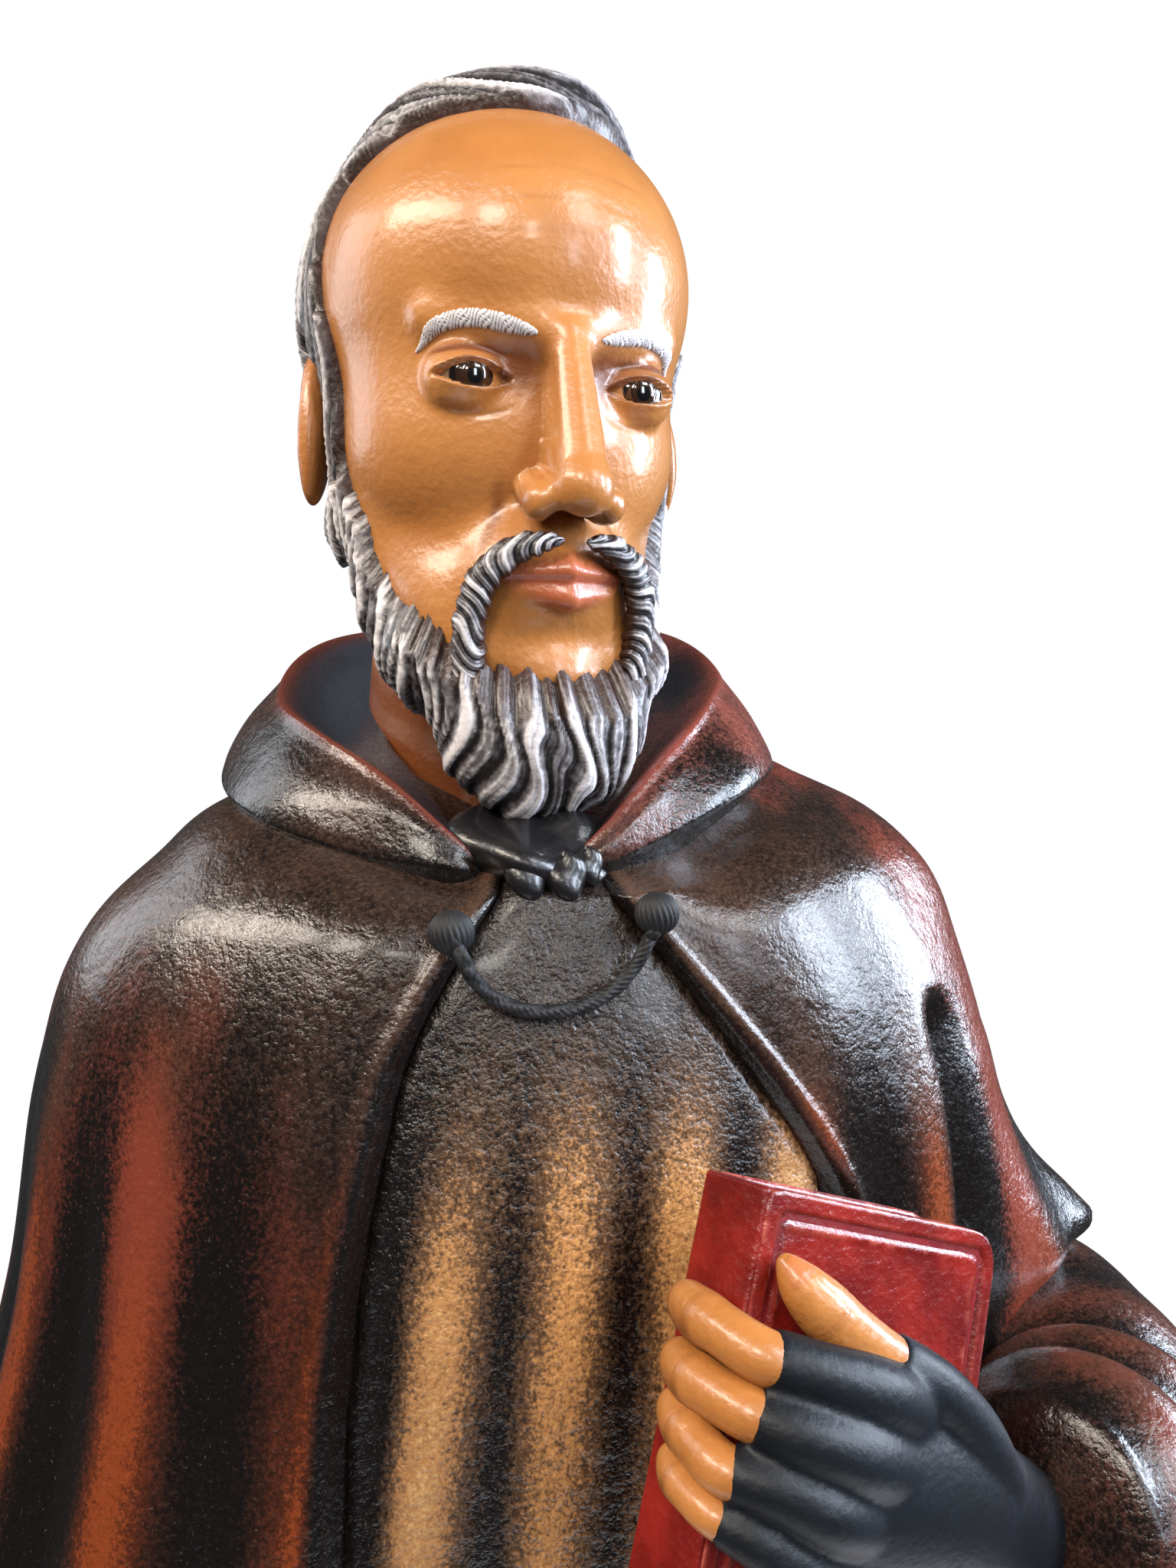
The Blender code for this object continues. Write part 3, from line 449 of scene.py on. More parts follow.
def collar_place(u, v):
    span = TAU - (collar_to - collar_from)
    angle = collar_from - span * v
    deg = np.degrees(np.arctan2(np.sin(angle + 0.087), np.cos(angle + 0.087)))
    crest_r, crest_z, edge_r, edge_z = collar_ring(deg)
    ends = np.clip(1 - np.abs(2 * v - 1) ** 14, 0, 1) ** 0.5
    rr = np.array([crest_r - 0.035, crest_r - 0.014, crest_r - 0.0005, crest_r + 0.0035,
                   (crest_r + edge_r) / 2 + 0.0025, edge_r + 0.0005, edge_r - 0.002, crest_r - 0.004])
    zz = np.array([crest_z - 0.0165, crest_z - 0.0085, crest_z, crest_z - 0.0035,
                   (crest_z + edge_z) / 2 + 0.0005, edge_z + 0.001, edge_z - 0.005, edge_z - 0.02])
    count = len(rr)
    t = u * count
    i = np.clip(np.floor(t).astype(int), 0, count - 1)
    f = t - i
    pick = np.arange(len(u))

    def through(values):
        a, b, c, d = (values[(i + k) % count, pick] for k in (-1, 0, 1, 2))
        return 0.5 * ((2 * b) + (c - a) * f + (2 * a - 5 * b + 4 * c - d) * f**2
                      + (3 * b - a - 3 * c + d) * f**3)

    r, z = through(rr), through(zz)
    mean_r, mean_z = rr.mean(axis=0), zz.mean(axis=0)
    r = mean_r + (r - mean_r) * ends
    z = mean_z + (z - mean_z) * ends
    wave = 0.0008 * np.sin(deg / 9 + 2 * u * TAU) * bell(t - 4, 1.3)
    rim = bell(t - 2.2, 0.5)
    inside = step(-t, -2.0, -1.5) + step(t, 7.4, 7.8)
    # painted shade under the collar's lower edge
    low = bell(t - 5.9, 0.5)
    leaf = step(deg, 12, 40) * step(-deg, -150, -110)
    return (np.stack([-0.004 + (r + wave) * np.sin(angle), 0.004 - (r + wave) * np.cos(angle), z], 1),
            {"ridge": np.clip(0.45 + 0.35 * rim + 0.15 * np.sin(deg / 9) - 0.7 * low, 0, 1),
             "inside": np.clip(inside, 0, 1) * (1 - 0.7 * leaf), "rim": rim, "lit": 0.25 - 0.15 * leaf,
             "blush": leaf * (0.75 + 0.25 * np.sin(deg / 21) ** 2)})


# the head, in millimetres of a 230 mm head
def melt(a, b, k):
    h = np.clip(0.5 + 0.5 * (b - a) / k, 0, 1)
    return b + (a - b) * h - k * h * (1 - h)


def egg(p, centre, radii):
    q = (p - np.asarray(centre, float)) / np.asarray(radii, float)
    k0 = np.linalg.norm(q, axis=1) + 1e-9
    k1 = np.linalg.norm(q / np.asarray(radii, float), axis=1) + 1e-9
    return k0 * (k0 - 1) / k1


def rod(p, a, b, ra, rb):
    a, b = np.asarray(a, float), np.asarray(b, float)
    t = np.clip((p - a) @ (b - a) / ((b - a) @ (b - a)), 0, 1)
    return np.linalg.norm(p - a - t[:, None] * (b - a), axis=1) - (ra + (rb - ra) * t)


def halved(p):
    q = p.copy()
    q[:, 0] = np.abs(q[:, 0])
    return q


def skin_distance(p):
    q = halved(p)
    d = egg(q, (0, 10, 36), (75, 98, 76))
    d = melt(d, egg(q, (0, -20, 45), (64, 70, 56)), 14)
    d = melt(d, egg(q, (0, -20, -18), (66, 65, 58)), 14)
    d = melt(d, egg(q, (0, -40, -74), (46, 49, 36)), 14)
    d = melt(d, rod(q, (52, -8, -50), (21, -72, -96), 14, 13), 16)
    d = melt(d, rod(q, (9, -83, 17), (44, -66, 20), 6, 5), 8)
    d = -melt(-d, egg(q, (30, -95, 2), (15, 14, 10.5)), 10)
    d = melt(d, rod(q, (0, -88, 14), (0, -108, -36), 6.5, 9.5), 7)
    d = melt(d, egg(q, (0, -110, -38), (9, 9, 8.5)), 5)
    d = melt(d, egg(q, (12, -99, -42), (7, 9, 7)), 5)
    d = -melt(-d, egg(q, (6.5, -103, -50), (4, 6, 4)), 2.5)
    d = melt(d, egg(q, (eye_apart, eye_deep, 0), (15.5, 14.3, 13.6)), 3)
    d = melt(d, egg(q, (0, -74, -68), (28, 23, 25)), 10)
    d = melt(d, rod(q, *upper_lip), 3)
    d = melt(d, rod(q, *lower_lip), 3)
    d = -melt(-d, rod(q, (0, -104, -69.4), (24, -91, -69.6), 1.6, 1.2), 2)
    d = melt(d, egg(q, (0, -80, -103), (18, 14, 13)), 10)
    d = melt(d, rod(p, (0, 16, -70), (0, 26, -185), 44, 50), 16)
    return d


def beard_distance(p):
    q = halved(p)
    d = rod(q, (61, -16, -36), (46, -34, -84), 10, 16)
    d = melt(d, egg(q, (0, -50, -98), (57, 50, 33)), 10)
    d = melt(d, egg(q, (0, -73, -120), (41, 32, 40)), 8)
    return d


def hair_mask(p):
    x, y, z = np.abs(p[:, 0]), p[:, 1], p[:, 2]
    top = y + 52 - 48 * (x / 60) ** 2
    side = y - curve(z, (-60, -30, 0, 20, 50, 78, 110), (-30, -22, -19, -16, -8, -2, -2))
    front = np.where(z > 78, np.maximum(top, side - 6 * (z - 78) / 10), side)
    front = np.minimum(front, 60)
    under = z - curve(y, (-8, -2, 6, 22, 34, 52, 110), (-64, -20, 20, 18, -20, -72, -74))
    return np.minimum(front, under)


head_middle = np.array([0.0, -10.0, -12.0])


def head_way(a, e):
    return np.stack([np.sin(a) * np.cos(e), -np.cos(a) * np.cos(e), np.sin(e)], 1)


def shoot(way, distance, far=190.0, turns=40):
    r = np.full(len(way), far)
    for _ in range(turns):
        r = r - 0.9 * distance(head_middle + way * r[:, None])
    return np.clip(r, 5, far)


def to_figure(p):
    turn = np.array(Matrix.Rotation(head_turn, 3, "Z") @ Matrix.Rotation(head_bow, 3, "X"))
    return head_at + head_scale * (p @ turn.T)


def dense(u, v, ahead=0.6, level=-8.0, tight=0.3):
    """Head directions with more of the grid in front."""
    s = (u - 0.5) * TAU
    a = s - ahead * np.sin(s)
    c = math.radians(level)
    e0 = (v - 0.5) * np.pi
    e = e0 - tight * np.sin(2 * (e0 - c)) / 2
    low, high = -np.pi / 2, np.pi / 2
    e_low = low - tight * math.sin(2 * (low - c)) / 2
    e_high = high - tight * math.sin(2 * (high - c)) / 2
    e = low + (e - e_low) * (high - low) / (e_high - e_low)
    return a, e


def eye_opening(p):
    """Inside the almond between the lids, in millimetres of the head, positive inside."""
    q = halved(p)
    x, z = q[:, 0] - eye_apart, q[:, 2]
    upper = 5.2 - 0.024 * x**2
    lower = -4.3 + 0.019 * x**2
    return np.minimum(upper - z, z - lower)


def skin_place(u, v):
    a, e = dense(u, v)
    way = head_way(a, e)
    r = shoot(way, skin_distance)
    p = head_middle + way * r[:, None]
    q = halved(p)
    front = step(-p[:, 1], 60, 72)
    opening = eye_opening(p)
    lid = bell(opening, 1.3) * front * step(-np.abs(q[:, 0] - eye_apart), -15, -12)
    sink = step(opening, 0.0, 1.0) * front
    r = r + 0.9 * lid - 3.6 * sink
    crease = (bell(q[:, 2] - 9.6 + 0.012 * (q[:, 0] - eye_apart) ** 2, 1.1)
              * step(-np.abs(q[:, 0] - eye_apart), -17, -9) * front)
    r = r - 1.1 * crease
    bag = (bell(q[:, 2] + 12.5 - 0.02 * (q[:, 0] - 29) ** 2, 1.3) * step(-np.abs(q[:, 0] - 29), -15, -6)
           * front)
    r = r - 0.5 * bag
    smile = bell(q[:, 0] - (19 + 0.5 * (-42 - q[:, 2])), 2.2) * step(-np.abs(q[:, 2] + 52), -14, -4) * front
    r = r - 0.8 * smile
    brow = np.zeros(len(r))
    for level in (46, 57, 68):
        brow += bell(q[:, 2] - level - 2.5 * np.cos(q[:, 0] / 17), 1.1) * step(-q[:, 0], -40, -20)
    r = r - 0.18 * brow * step(-p[:, 1], 50, 60)
    # keep below the hair and the beard
    under = step(hair_mask(p), 1.0, 5.0)
    chin = step(-q[:, 2], 104, 112) * step(-p[:, 1], -30, 0)
    r = r - 2.0 * under - 4.0 * chin
    p = head_middle + way * r[:, None]
    q = halved(p)
    lips = np.minimum(rod(q, *upper_lip), rod(q, *lower_lip))
    flush = step(-lips, -1.6, 0.4) * step(-p[:, 1], 80, 88)
    # painted shade: the dark value darkens the eye sockets, the lid creases, the bags under the eyes, the
    # folds beside the nose and mouth, the brow lines, the nostrils and the line between the lips
    dark = 0.9 * bell2(q[:, 0] - 15, 8, q[:, 2] - 3, 9) * front
    dark += 0.5 * bell2(q[:, 0] - 31, 18, q[:, 2] - 9, 6) * front
    dark += (0.7 * crease + 0.35 * bag + 0.5 * lid * (opening > -0.6) + 0.5 * smile
             + 0.3 * brow * step(-p[:, 1], 50, 60))
    dark += 0.9 * step(-egg(q, (6.5, -103, -50), (5, 7, 5)), -1.6, 0.5)
    # painted shadow on the neck and under the chin
    dark += step(-p[:, 2], 103, 118)
    dark += 0.5 * bell2(q[:, 0] - 21, 3, q[:, 2] + 40, 8) * front
    line = bell(q[:, 2] + 69.5, 1.0) * step(-q[:, 0], -23, -18) * step(-p[:, 1], 80, 88)
    dark += 0.9 * line
    # painted shade along the hairline under the hair's edge, and more painted shadow under the jaw
    dark += 0.45 * bell(hair_mask(p), 3.5) + 0.3 * step(-q[:, 2], 92, 100)
    return to_figure(p), {"flush": flush, "dark": np.clip(dark, 0, 1)}


def lock_relief(across, along_by, seed=0.0):
    """Locks about a unit wide with finer strands in them: relief from 0 to 1, and the strand value."""
    bend = (0.33 * np.sin(along_by * 0.9 + across * 0.7 + seed)
            + 0.18 * np.sin(along_by * 2.1 + across * 1.9 + seed * 2))
    s = across + bend
    tall = 0.72 + 0.28 * np.sin(np.floor(s) * 2.4 + seed)
    main = np.abs(np.sin(np.pi * s)) ** 0.75 * tall
    fine = 0.5 + 0.5 * np.cos(TAU * s * 3.0 + 1.3 * np.sin(along_by * 1.3 + np.floor(s)))
    hairs = 0.5 + 0.5 * np.cos(TAU * s * 7.0 + 2.0 * np.sin(along_by * 0.8))
    return main, fine, hairs


crown = np.array([0.0, 0.35, 0.94]) / math.hypot(0.35, 0.94)
crown_side = np.array([1.0, 0, 0])
crown_front = -np.cross(crown, crown_side)


def hair_place(u, v):
    """Rows run from the crown outwards past the hairline, where the surface turns in under the skin."""
    a = (u - 0.5) * TAU
    far = np.radians(curve(np.degrees(np.abs(a)), (0, 40, 62, 75, 83, 90, 102, 112, 130, 150, 165, 180),
                           (49, 50, 52, 64, 100, 141, 140, 92, 97, 109, 122, 125)))
    off = far * np.clip(v / hair_rows, 0, 1)
    way = (np.cos(off)[:, None] * crown + (np.sin(off) * np.sin(a))[:, None] * crown_side
           + (np.sin(off) * np.cos(a))[:, None] * crown_front)
    skin = shoot(way, skin_distance)
    p = head_middle + way * skin[:, None]
    x, y, z = p[:, 0], p[:, 1], p[:, 2]
    turn = np.arctan2(x, -(y - 5)) * 70 / TAU
    down = z / 15.0
    side_main, side_fine, side_hair = lock_relief(turn, down, 0.4)
    mask = hair_mask(p)
    top_main, top_fine, top_hair = lock_relief((0.9 * np.minimum(mask, y + 52) + 0.22 * x) / 4.6,
                                               x / 19.0, 1.7)
    over = step(z, 70, 84) * step(-y, -26, -6)
    main = side_main * (1 - over) + top_main * over
    fine = side_fine * (1 - over) + top_fine * over
    hairs = side_hair * (1 - over) + top_hair * over
    jag = (2.0 - 1.2 * over) * (main - 0.5)
    inside = step(mask + jag, -1.0, 1.6)
    tuft = 8 * bell(y + 30, 30) * step(z, 70, 95) * step(mask, -1, 12)
    wave = 1.2 * np.sin((x + 8) / 11.0) * over * step(mask, 0, 8)
    proud = 3.2 + tuft + wave + (3.0 - 0.8 * over) * main + 0.7 * fine + 0.25 * hairs
    r = skin + proud * inside - 9.0 * (1 - inside)
    r = r * (1 - 0.8 * np.clip((v - hair_rows) / 0.05, 0, 1))
    # painted shade where the hair's edge stands off the skin: rim darkens the hair there
    rim = bell(mask + jag - 0.2, 1.1)
    lock = np.clip(0.75 * main + 0.25 * fine - 0.13, 0, 1) * (1 - 0.6 * rim)
    return to_figure(head_middle + way * r[:, None]), {"lock": lock, "rim": rim, "hairs": hairs}


def beard_edge(p):
    """Millimetres below the beard's upper line, at a point of the skin."""
    q = halved(p)
    x, y, z = q[:, 0], q[:, 1], q[:, 2]
    line = curve(y, (-95, -88, -76, -66, -52, -36, -26, -14), (-99, -97, -92, -84, -76, -62, -40, -30))
    line = np.where(x < 26, np.minimum(line, -98 - 4 * np.cos(x / 26 * np.pi / 2)), line)
    return np.minimum(line - z, 60)


def beard_place(u, v):
    """Rows run from under the chin up past the beard's upper line, where the surface turns in."""
    s = (u - 0.5) * TAU
    a = s - 0.78 * np.sin(s)
    e = -np.pi / 2 + (np.pi / 2 + 0.06) * np.clip(v / beard_rows, 0, 1) ** 0.9
    way = head_way(a, e)
    skin = shoot(way, skin_distance)
    full = shoot(way, lambda p: melt(skin_distance(p), beard_distance(p), 2))
    at = head_middle + way * skin[:, None]
    turn = np.degrees(np.arctan2(at[:, 0], -(at[:, 1] + 10)))
    p = head_middle + way * full[:, None]
    z = p[:, 2]
    sway = 0.5 * np.sin(z / 10.5 + turn / 9) + 0.32 * np.sin(z / 16.0 - turn / 17 + 1.0)
    narrow = 1 - 0.25 * step(-z, 115, 150)
    main, fine, hairs = lock_relief(turn * narrow / 4.9 + sway, z / 12.0, 0.9)
    tip = step(-z, 122, 150)
    edge = beard_edge(at)
    jag = 5.5 * (main - 0.45)
    inside = step(edge + jag, -0.8, 1.8) * step(full - skin, 0.3, 2.0)
    curl = np.sin(z / 4.4 + turn / 5) * tip
    grow = 4.2 * main + 0.7 * fine + 0.25 * hairs - 3.0 + 0.9 * curl
    hidden = np.minimum(skin - 7, 66)
    r = (full + grow) * inside + hidden * (1 - inside)
    r = r * (1 - 0.8 * np.clip((v - beard_rows) / 0.04, 0, 1))
    # painted shade along the beard's upper edge, where it stands off the skin
    rim = bell(edge + jag - 0.2, 2.0)
    lock = np.clip(0.9 * main + 0.25 * fine - 0.1, 0, 1) * (1 - 0.7 * rim)
    return to_figure(head_middle + way * r[:, None]), {"lock": lock, "rim": rim, "hairs": hairs}


def moustache(side):
    points = np.array([(4, -103, -55), (12, -101, -56), (21, -97, -60), (28.5, -91.5, -68),
                       (32, -87.5, -79),
                       (32.5, -85, -91), (31, -82, -103), (28, -74, -116)]) * np.array([side, 1, 1])
    lined, length = along(points)

    def place(u, v):
        at = on_line(lined, length, v)
        way = heading(lined, length, v, 0.02)
        out = at - np.array([0, -20.0, -70.0])
        flat = unit_rows(np.cross(way, out))
        top = np.cross(flat, way)
        top = top * np.sign((top * out).sum(axis=1))[:, None]
        a = u * TAU
        ends = np.sqrt(np.clip(1 - (2 * v - 1) ** 8, 0, 1))
        r = curve(v, length, (2.6, 4.2, 5.0, 5.4, 5.6, 5.8, 6.0, 4.5)) * ends
        slant = v * 15.0 + 0.75 * np.cos(a) + 0.35 * np.sin(v * 17 + side) + 0.25 * np.sin(2 * a + 9 * v)
        count = np.floor(slant)
        main = np.abs(np.sin(np.pi * slant)) ** 0.8 * (0.8 + 0.2 * np.sin(count * 2.3))
        fine = 0.5 + 0.5 * np.cos(TAU * slant * 3 + count)
        r = r + (1.5 * main + 0.4 * fine - 0.9) * ends
        p = at + r[:, None] * (np.cos(a)[:, None] * flat + 0.9 * np.sin(a)[:, None] * top)
        # painted shade on the moustache's sides and underside
        under = np.clip(-np.sin(a), 0, 1)
        rim = np.clip(np.abs(np.cos(a)) ** 5 + under, 0, 1)
        lock = np.clip(0.9 * main**1.3 + 0.2 * fine - 0.1, 0, 1)
        return to_figure(p), {"lock": lock * (1 - 0.75 * rim), "rim": 0.8 * rim, "hairs": fine}

    return form(sided("moustache", side), 52, 200, place)


def eyebrow(side):
    """A low raised patch of fine hairs along the brow."""
    turns = np.radians((8.5, 17, 26, 35, 43))
    rise = np.radians((18.6, 20.6, 21.6, 20.2, 16.0))
    half = (2.2, 2.9, 2.7, 2.0, 0.8)
    place_at = np.linspace(0, 1, 5)

    def place(u, v):
        a = u * TAU
        ends = np.clip(1 - np.abs(2 * v - 1) ** 5, 0, 1) ** 0.5
        strand = v * 30 + 1.5 * np.sin(a) + 0.4 * np.sin(v * 41)
        hairs = np.abs(np.sin(np.pi * strand))
        az = curve(v, place_at, turns)
        el = curve(v, place_at, rise)
        wide = curve(v, place_at, half) * ends * (0.9 + 0.2 * hairs)
        el = el + np.sin(a) * wide / 98.0
        az = az + np.sin(a) * wide / 98.0 * 0.5
        way = head_way(side * az, el)
        r = shoot(way, skin_distance)
        up = np.where(np.cos(a) > 0, 1.9 * np.clip(np.cos(a), 0, 1) ** 0.5 * ends * (0.6 + 0.4 * hairs),
                      1.2 * np.cos(a))
        values = {"lock": 0.3 + 0.75 * hairs, "rim": 0 * v, "hairs": hairs}
        return to_figure(head_middle + way * (r + up)[:, None]), values

    return form(sided("eyebrow", side), 20, 230, place)


def ear(side):
    def place(u, v):
        way = globe(u, v)[2]
        p = way * np.array([6.5, 17, 31])
        outer = way[:, 0] > 0
        bowl = bell2(p[:, 1], 9, p[:, 2] - 3, 15)
        rim_at = np.hypot(p[:, 1] / 17, p[:, 2] / 31)
        helix = bell(rim_at - 0.86, 0.07) * step(p[:, 2], -22, -8)
        groove = bell(rim_at - 0.7, 0.07) * step(p[:, 2], -12, 2)
        p[:, 0] += np.where(outer, -7 * bowl + 1.0 * helix - 1.3 * groove, 0)
        p[:, 1] += 0.16 * p[:, 2]
        # painted shade in the ear's bowl and in its groove
        dark = np.where(outer, 0.8 * bowl + 0.5 * groove, 0)
        p = p * np.array([side, 1, 1])
        turn = np.array(Matrix.Rotation(side * math.radians(20), 3, "Z"))
        values = {"flush": 0.15 * v, "dark": np.clip(dark, 0, 1)}
        return to_figure(p @ turn.T + np.array([side * 73, 8, -12])), values

    return form(sided("ear", side), 60, 50, place)


def eyeball(side):
    centre = np.array([side * eye_apart, eye_deep, 0.0])
    gaze = np.array([side * -0.02, -1.0, -0.02])
    gaze /= np.linalg.norm(gaze)

    def place(u, v):
        a, e = u * TAU, (v - 0.5) * np.pi
        # poles on the gaze axis, so that the iris is round
        way = np.stack([np.cos(a) * np.cos(e), np.sin(e), np.sin(a) * np.cos(e)], 1)
        off = np.degrees(np.arccos(np.clip(way @ gaze, -1, 1)))
        bulge = 0.5 * step(-off, -29, -20)
        return to_figure(centre + way * (eye_radius - 0.35 + bulge)[:, None]), {"off": off}

    return form(sided("glass_eye", side), 48, 60, place)


# the book and the hand
book_n = Vector((math.sin(book_turn) * math.cos(book_lean), -math.cos(book_turn) * math.cos(book_lean),
                 math.sin(book_lean)))
flat_w = Vector((math.cos(book_turn), math.sin(book_turn), 0))
flat_h = flat_w.cross(book_n) * -1
if flat_h.z < 0:
    flat_h = flat_h * -1
book_w = (flat_w * math.cos(book_roll) - flat_h * math.sin(book_roll)).normalized()
book_h = (flat_h * math.cos(book_roll) + flat_w * math.sin(book_roll)).normalized()


def on_book(w, h, n):
    return np.array(Vector(book_corner) + book_w * (w / 1000) + book_h * (h / 1000) + book_n * (n / 1000))


def slab(name, w0, w1, h0, h1, n0, n1, bevel):
    bm = bmesh.new()
    bmesh.ops.create_cube(bm, size=1)
    for vert in bm.verts:
        x, y, z = vert.co
        vert.co = to_world(on_book(w0 + (x + 0.5) * (w1 - w0), h0 + (y + 0.5) * (h1 - h0),
                                   n0 + (z + 0.5) * (n1 - n0)))
    bmesh.ops.bevel(bm, geom=bm.edges[:], offset=bevel, segments=3, profile=0.5, affect="EDGES",
                    material=-1)
    bmesh.ops.recalc_face_normals(bm, faces=bm.faces)
    thing = piece(name, bm)
    thing.modifiers.new("flat", "WEIGHTED_NORMAL").keep_sharp = True
    return thing


def board(name, n0, n1, front):
    """A cover board, square at the spine, rounded at the fore edge, with a raised border and a bead."""
    w1, h1 = book_width * 1000, book_length * 1000

    def place(u, v):
        a = (u - 0.5) * TAU
        a = a - 0.12 * np.sin(4 * a)
        c, s = np.cos(a), np.sin(a)
        k = np.where(c > 0, 11.0, 60.0)
        edge = (np.abs(c) ** k + np.abs(s) ** k) ** (-1 / k)
        t = np.clip(v, 0, 1)
        inward = np.clip(np.minimum(t, 1 - t) / 0.45, 0, 1)
        inward = np.where(inward < 0.6, inward / 0.6 * 0.78, 0.78 + (inward - 0.6) / 0.4 * 0.22)
        w = w1 / 2 + w1 / 2 * np.clip(edge * c, -1, 1) * inward
        h = -h1 / 2 + h1 / 2 * np.clip(edge * s, -1, 1) * inward
        from_edge = (1 - inward) * np.minimum(w1, h1) / 2
        side_by = np.minimum(np.minimum(w, w1 - w), np.minimum(-h, h1 + h))
        from_edge = np.where(side_by < from_edge * 0.2, from_edge, side_by)
        soft = 0.8 * rounded(from_edge / 0.9)
        n = np.where(t < 0.5, n0 + soft, n1 - soft)
        face = (t > 0.5) if front else (t < 0.5)
        raised = (-1.2 * step(from_edge, 4.2, 5.0) + 0.7 * step(from_edge, 6.3, 6.9)
                  + 0.35 * bell(from_edge - 8.0, 0.7))
        n = n + np.where(face, raised, 0) * (1 if front else -1)
        worn = bell(from_edge, 1.0) + 0.6 * bell(from_edge - 8.0, 0.8) + 0.3 * bell(from_edge - 3.9, 0.7)
        # painted shade in the groove between the raised border and the bead
        deep = bell(from_edge - 5.6, 0.8) * face
        place_in = (np.outer(w, np.array(book_w)) + np.outer(h, np.array(book_h))
                    + np.outer(n, np.array(book_n))) / 1000
        return np.array(book_corner) + place_in, {"worn": np.clip(worn, 0, 1), "deep": np.clip(deep, 0, 1)}

    return form(name, 200 if front else 100, 104 if front else 60, place)


def finger(name, points, radii):
    def relief(a, v):
        out = np.sin(a)
        crease = sum(bell(v - at, 0.007) for at in (0.3, 0.33, 0.36))
        nail = step(-np.abs(v - 0.075), -0.055, -0.045) * step(out, 0.55, 0.65)
        rim = bell(np.abs(v - 0.075) - 0.052, 0.006) * step(out, 0.5, 0.6)
        # painted shade along the underside between the fingers, in the knuckle crease, round the nail and
        # towards the glove
        low = np.clip(-out, 0, 1)
        dark = 0.3 * bell(v - 0.33, 0.04) + 0.45 * rim + 0.3 * step(v, 0.62, 0.8) + 0.6 * low
        knuckle = 0.0004 * bell(v - 0.33, 0.09)
        return knuckle - crease * 0.0001 - 0.0002 * rim, {"flush": 0.35 * nail, "dark": np.clip(dark, 0, 1)}

    return tube(name, points, radii, 36, 90, up=tuple(book_n), relief=relief)


# each finger lies over the spine: its line in the book's frame, in millimetres
fingers = {
    "index": ((-4, -29, -20), (-6, -31, -12), (-6, -32.6, 0), (-2.3, -34.7, 9), (9, -36, 13.5)),
    "middle": ((-4, -41, -18), (-6, -43.5, -11), (-6, -45.2, 0), (-2.6, -46.5, 9), (6, -48, 15)),
    "ring": ((-4, -50.5, -16), (-6, -54, -9), (-6.5, -56.5, -1), (-5.8, -58.6, 7), (2.5, -59.2, 13.5)),
    "little": ((-4, -61, -13), (-6, -64.5, -7), (-6.5, -66.5, 0), (-5.4, -67.8, 6), (1, -69.8, 11.5)),
    "thumb": ((3, -14, 3.5), (9, -19.5, 6), (18, -25, 8), (35.5, -32, 10), (48, -35.5, 11.5)),
}
stubs = {
    "index": ((-2.3, -34.7, 9), (8.5, -36, 14), (25.4, -38.2, 16), (53, -45, 5), (80, -58, -5)),
    "middle": ((-2.6, -46.5, 9), (5, -48, 15.5), (18.7, -50.1, 18), (49.5, -57.3, 6), (78, -67.5, -5)),
    "ring": ((-5.8, -58.6, 7), (2.2, -59, 14), (13.2, -61.8, 17), (43, -68.5, 5), (76, -76, -6)),
    "little": ((-5.4, -67.8, 6), (0.9, -69.8, 12), (11.6, -74, 14.5), (42, -79, 3), (74, -84, -7)),
    "thumb": ((35.5, -32, 10), (49.4, -36.5, 12), (66, -45, 10), (88, -60, 3)),
}
finger_radius = {"index": 0.0058, "middle": 0.0058, "ring": 0.0053, "little": 0.0044, "thumb": 0.0062}
palm_line = ((10, -53, 3), (38, -58, 3), (64, -62, 2), (92, -69, -1), (128, -79, -5))


def glove():
    """The fingerless glove: finger stubs, hand and wrist grown into one skin."""
    parts = []
    for name, line in stubs.items():
        radii = [(finger_radius[name] + 0.0009) * grow for grow in (1.0, 1.06, 1.22, 1.45, 1.4)[:len(line)]]
        parts.append(tube("stub", [on_book(*p) for p in line], radii, 30, 60, up=tuple(book_n), dome=60))
    parts.append(tube("stub", [on_book(*p) for p in palm_line], (0.019, 0.0245, 0.0235, 0.019, 0.018),
                      40, 60,
                      squash=0.72, up=tuple(book_n)))
    bm = bmesh.new()
    for part in parts:
        bm.from_mesh(part.data)
        bpy.data.objects.remove(part, do_unlink=True)
    thing = piece("glove", bm)
    grown = thing.modifiers.new("grown", "REMESH")
    grown.mode = "VOXEL"
    grown.voxel_size = 0.001
    grown.use_smooth_shade = True
    soft = thing.modifiers.new("soft", "SMOOTH")
    soft.factor, soft.iterations = 0.5, 12
    return thing


# the plinth, the cord and the knobs
def plinth():
    bm = bmesh.new()
    corners = []
    for quarter in range(4):
        sx, sy = ((1, 1), (-1, 1), (-1, -1), (1, -1))[quarter]
        for k in range(13):
            a = math.radians(90 * quarter + 7.5 * k)
            corners.append(bm.verts.new((
                sx * (base_width / 2 - base_corner) + base_corner * math.cos(a),
                sy * (base_depth / 2 - base_corner) + base_corner * math.sin(a), 0)))
    face = bm.faces.new(corners)
    raised = bmesh.ops.extrude_face_region(bm, geom=[face])["geom"]
    for vert in (part for part in raised if isinstance(part, bmesh.types.BMVert)):
        vert.co.z = base_height
    rims = [edge for edge in bm.edges if abs(edge.verts[0].co.z - edge.verts[1].co.z) < tiny]
    bmesh.ops.bevel(bm, geom=rims, offset=base_edge, segments=5, profile=0.5, affect="EDGES", material=-1)
    bmesh.ops.recalc_face_normals(bm, faces=bm.faces)
    thing = piece("plinth", bm)
    thing.modifiers.new("flat", "WEIGHTED_NORMAL").keep_sharp = True
    return thing


def knob_place(x, z):
    return Vector((x, surface_at(x, z) - knob_radius * 0.45, z))


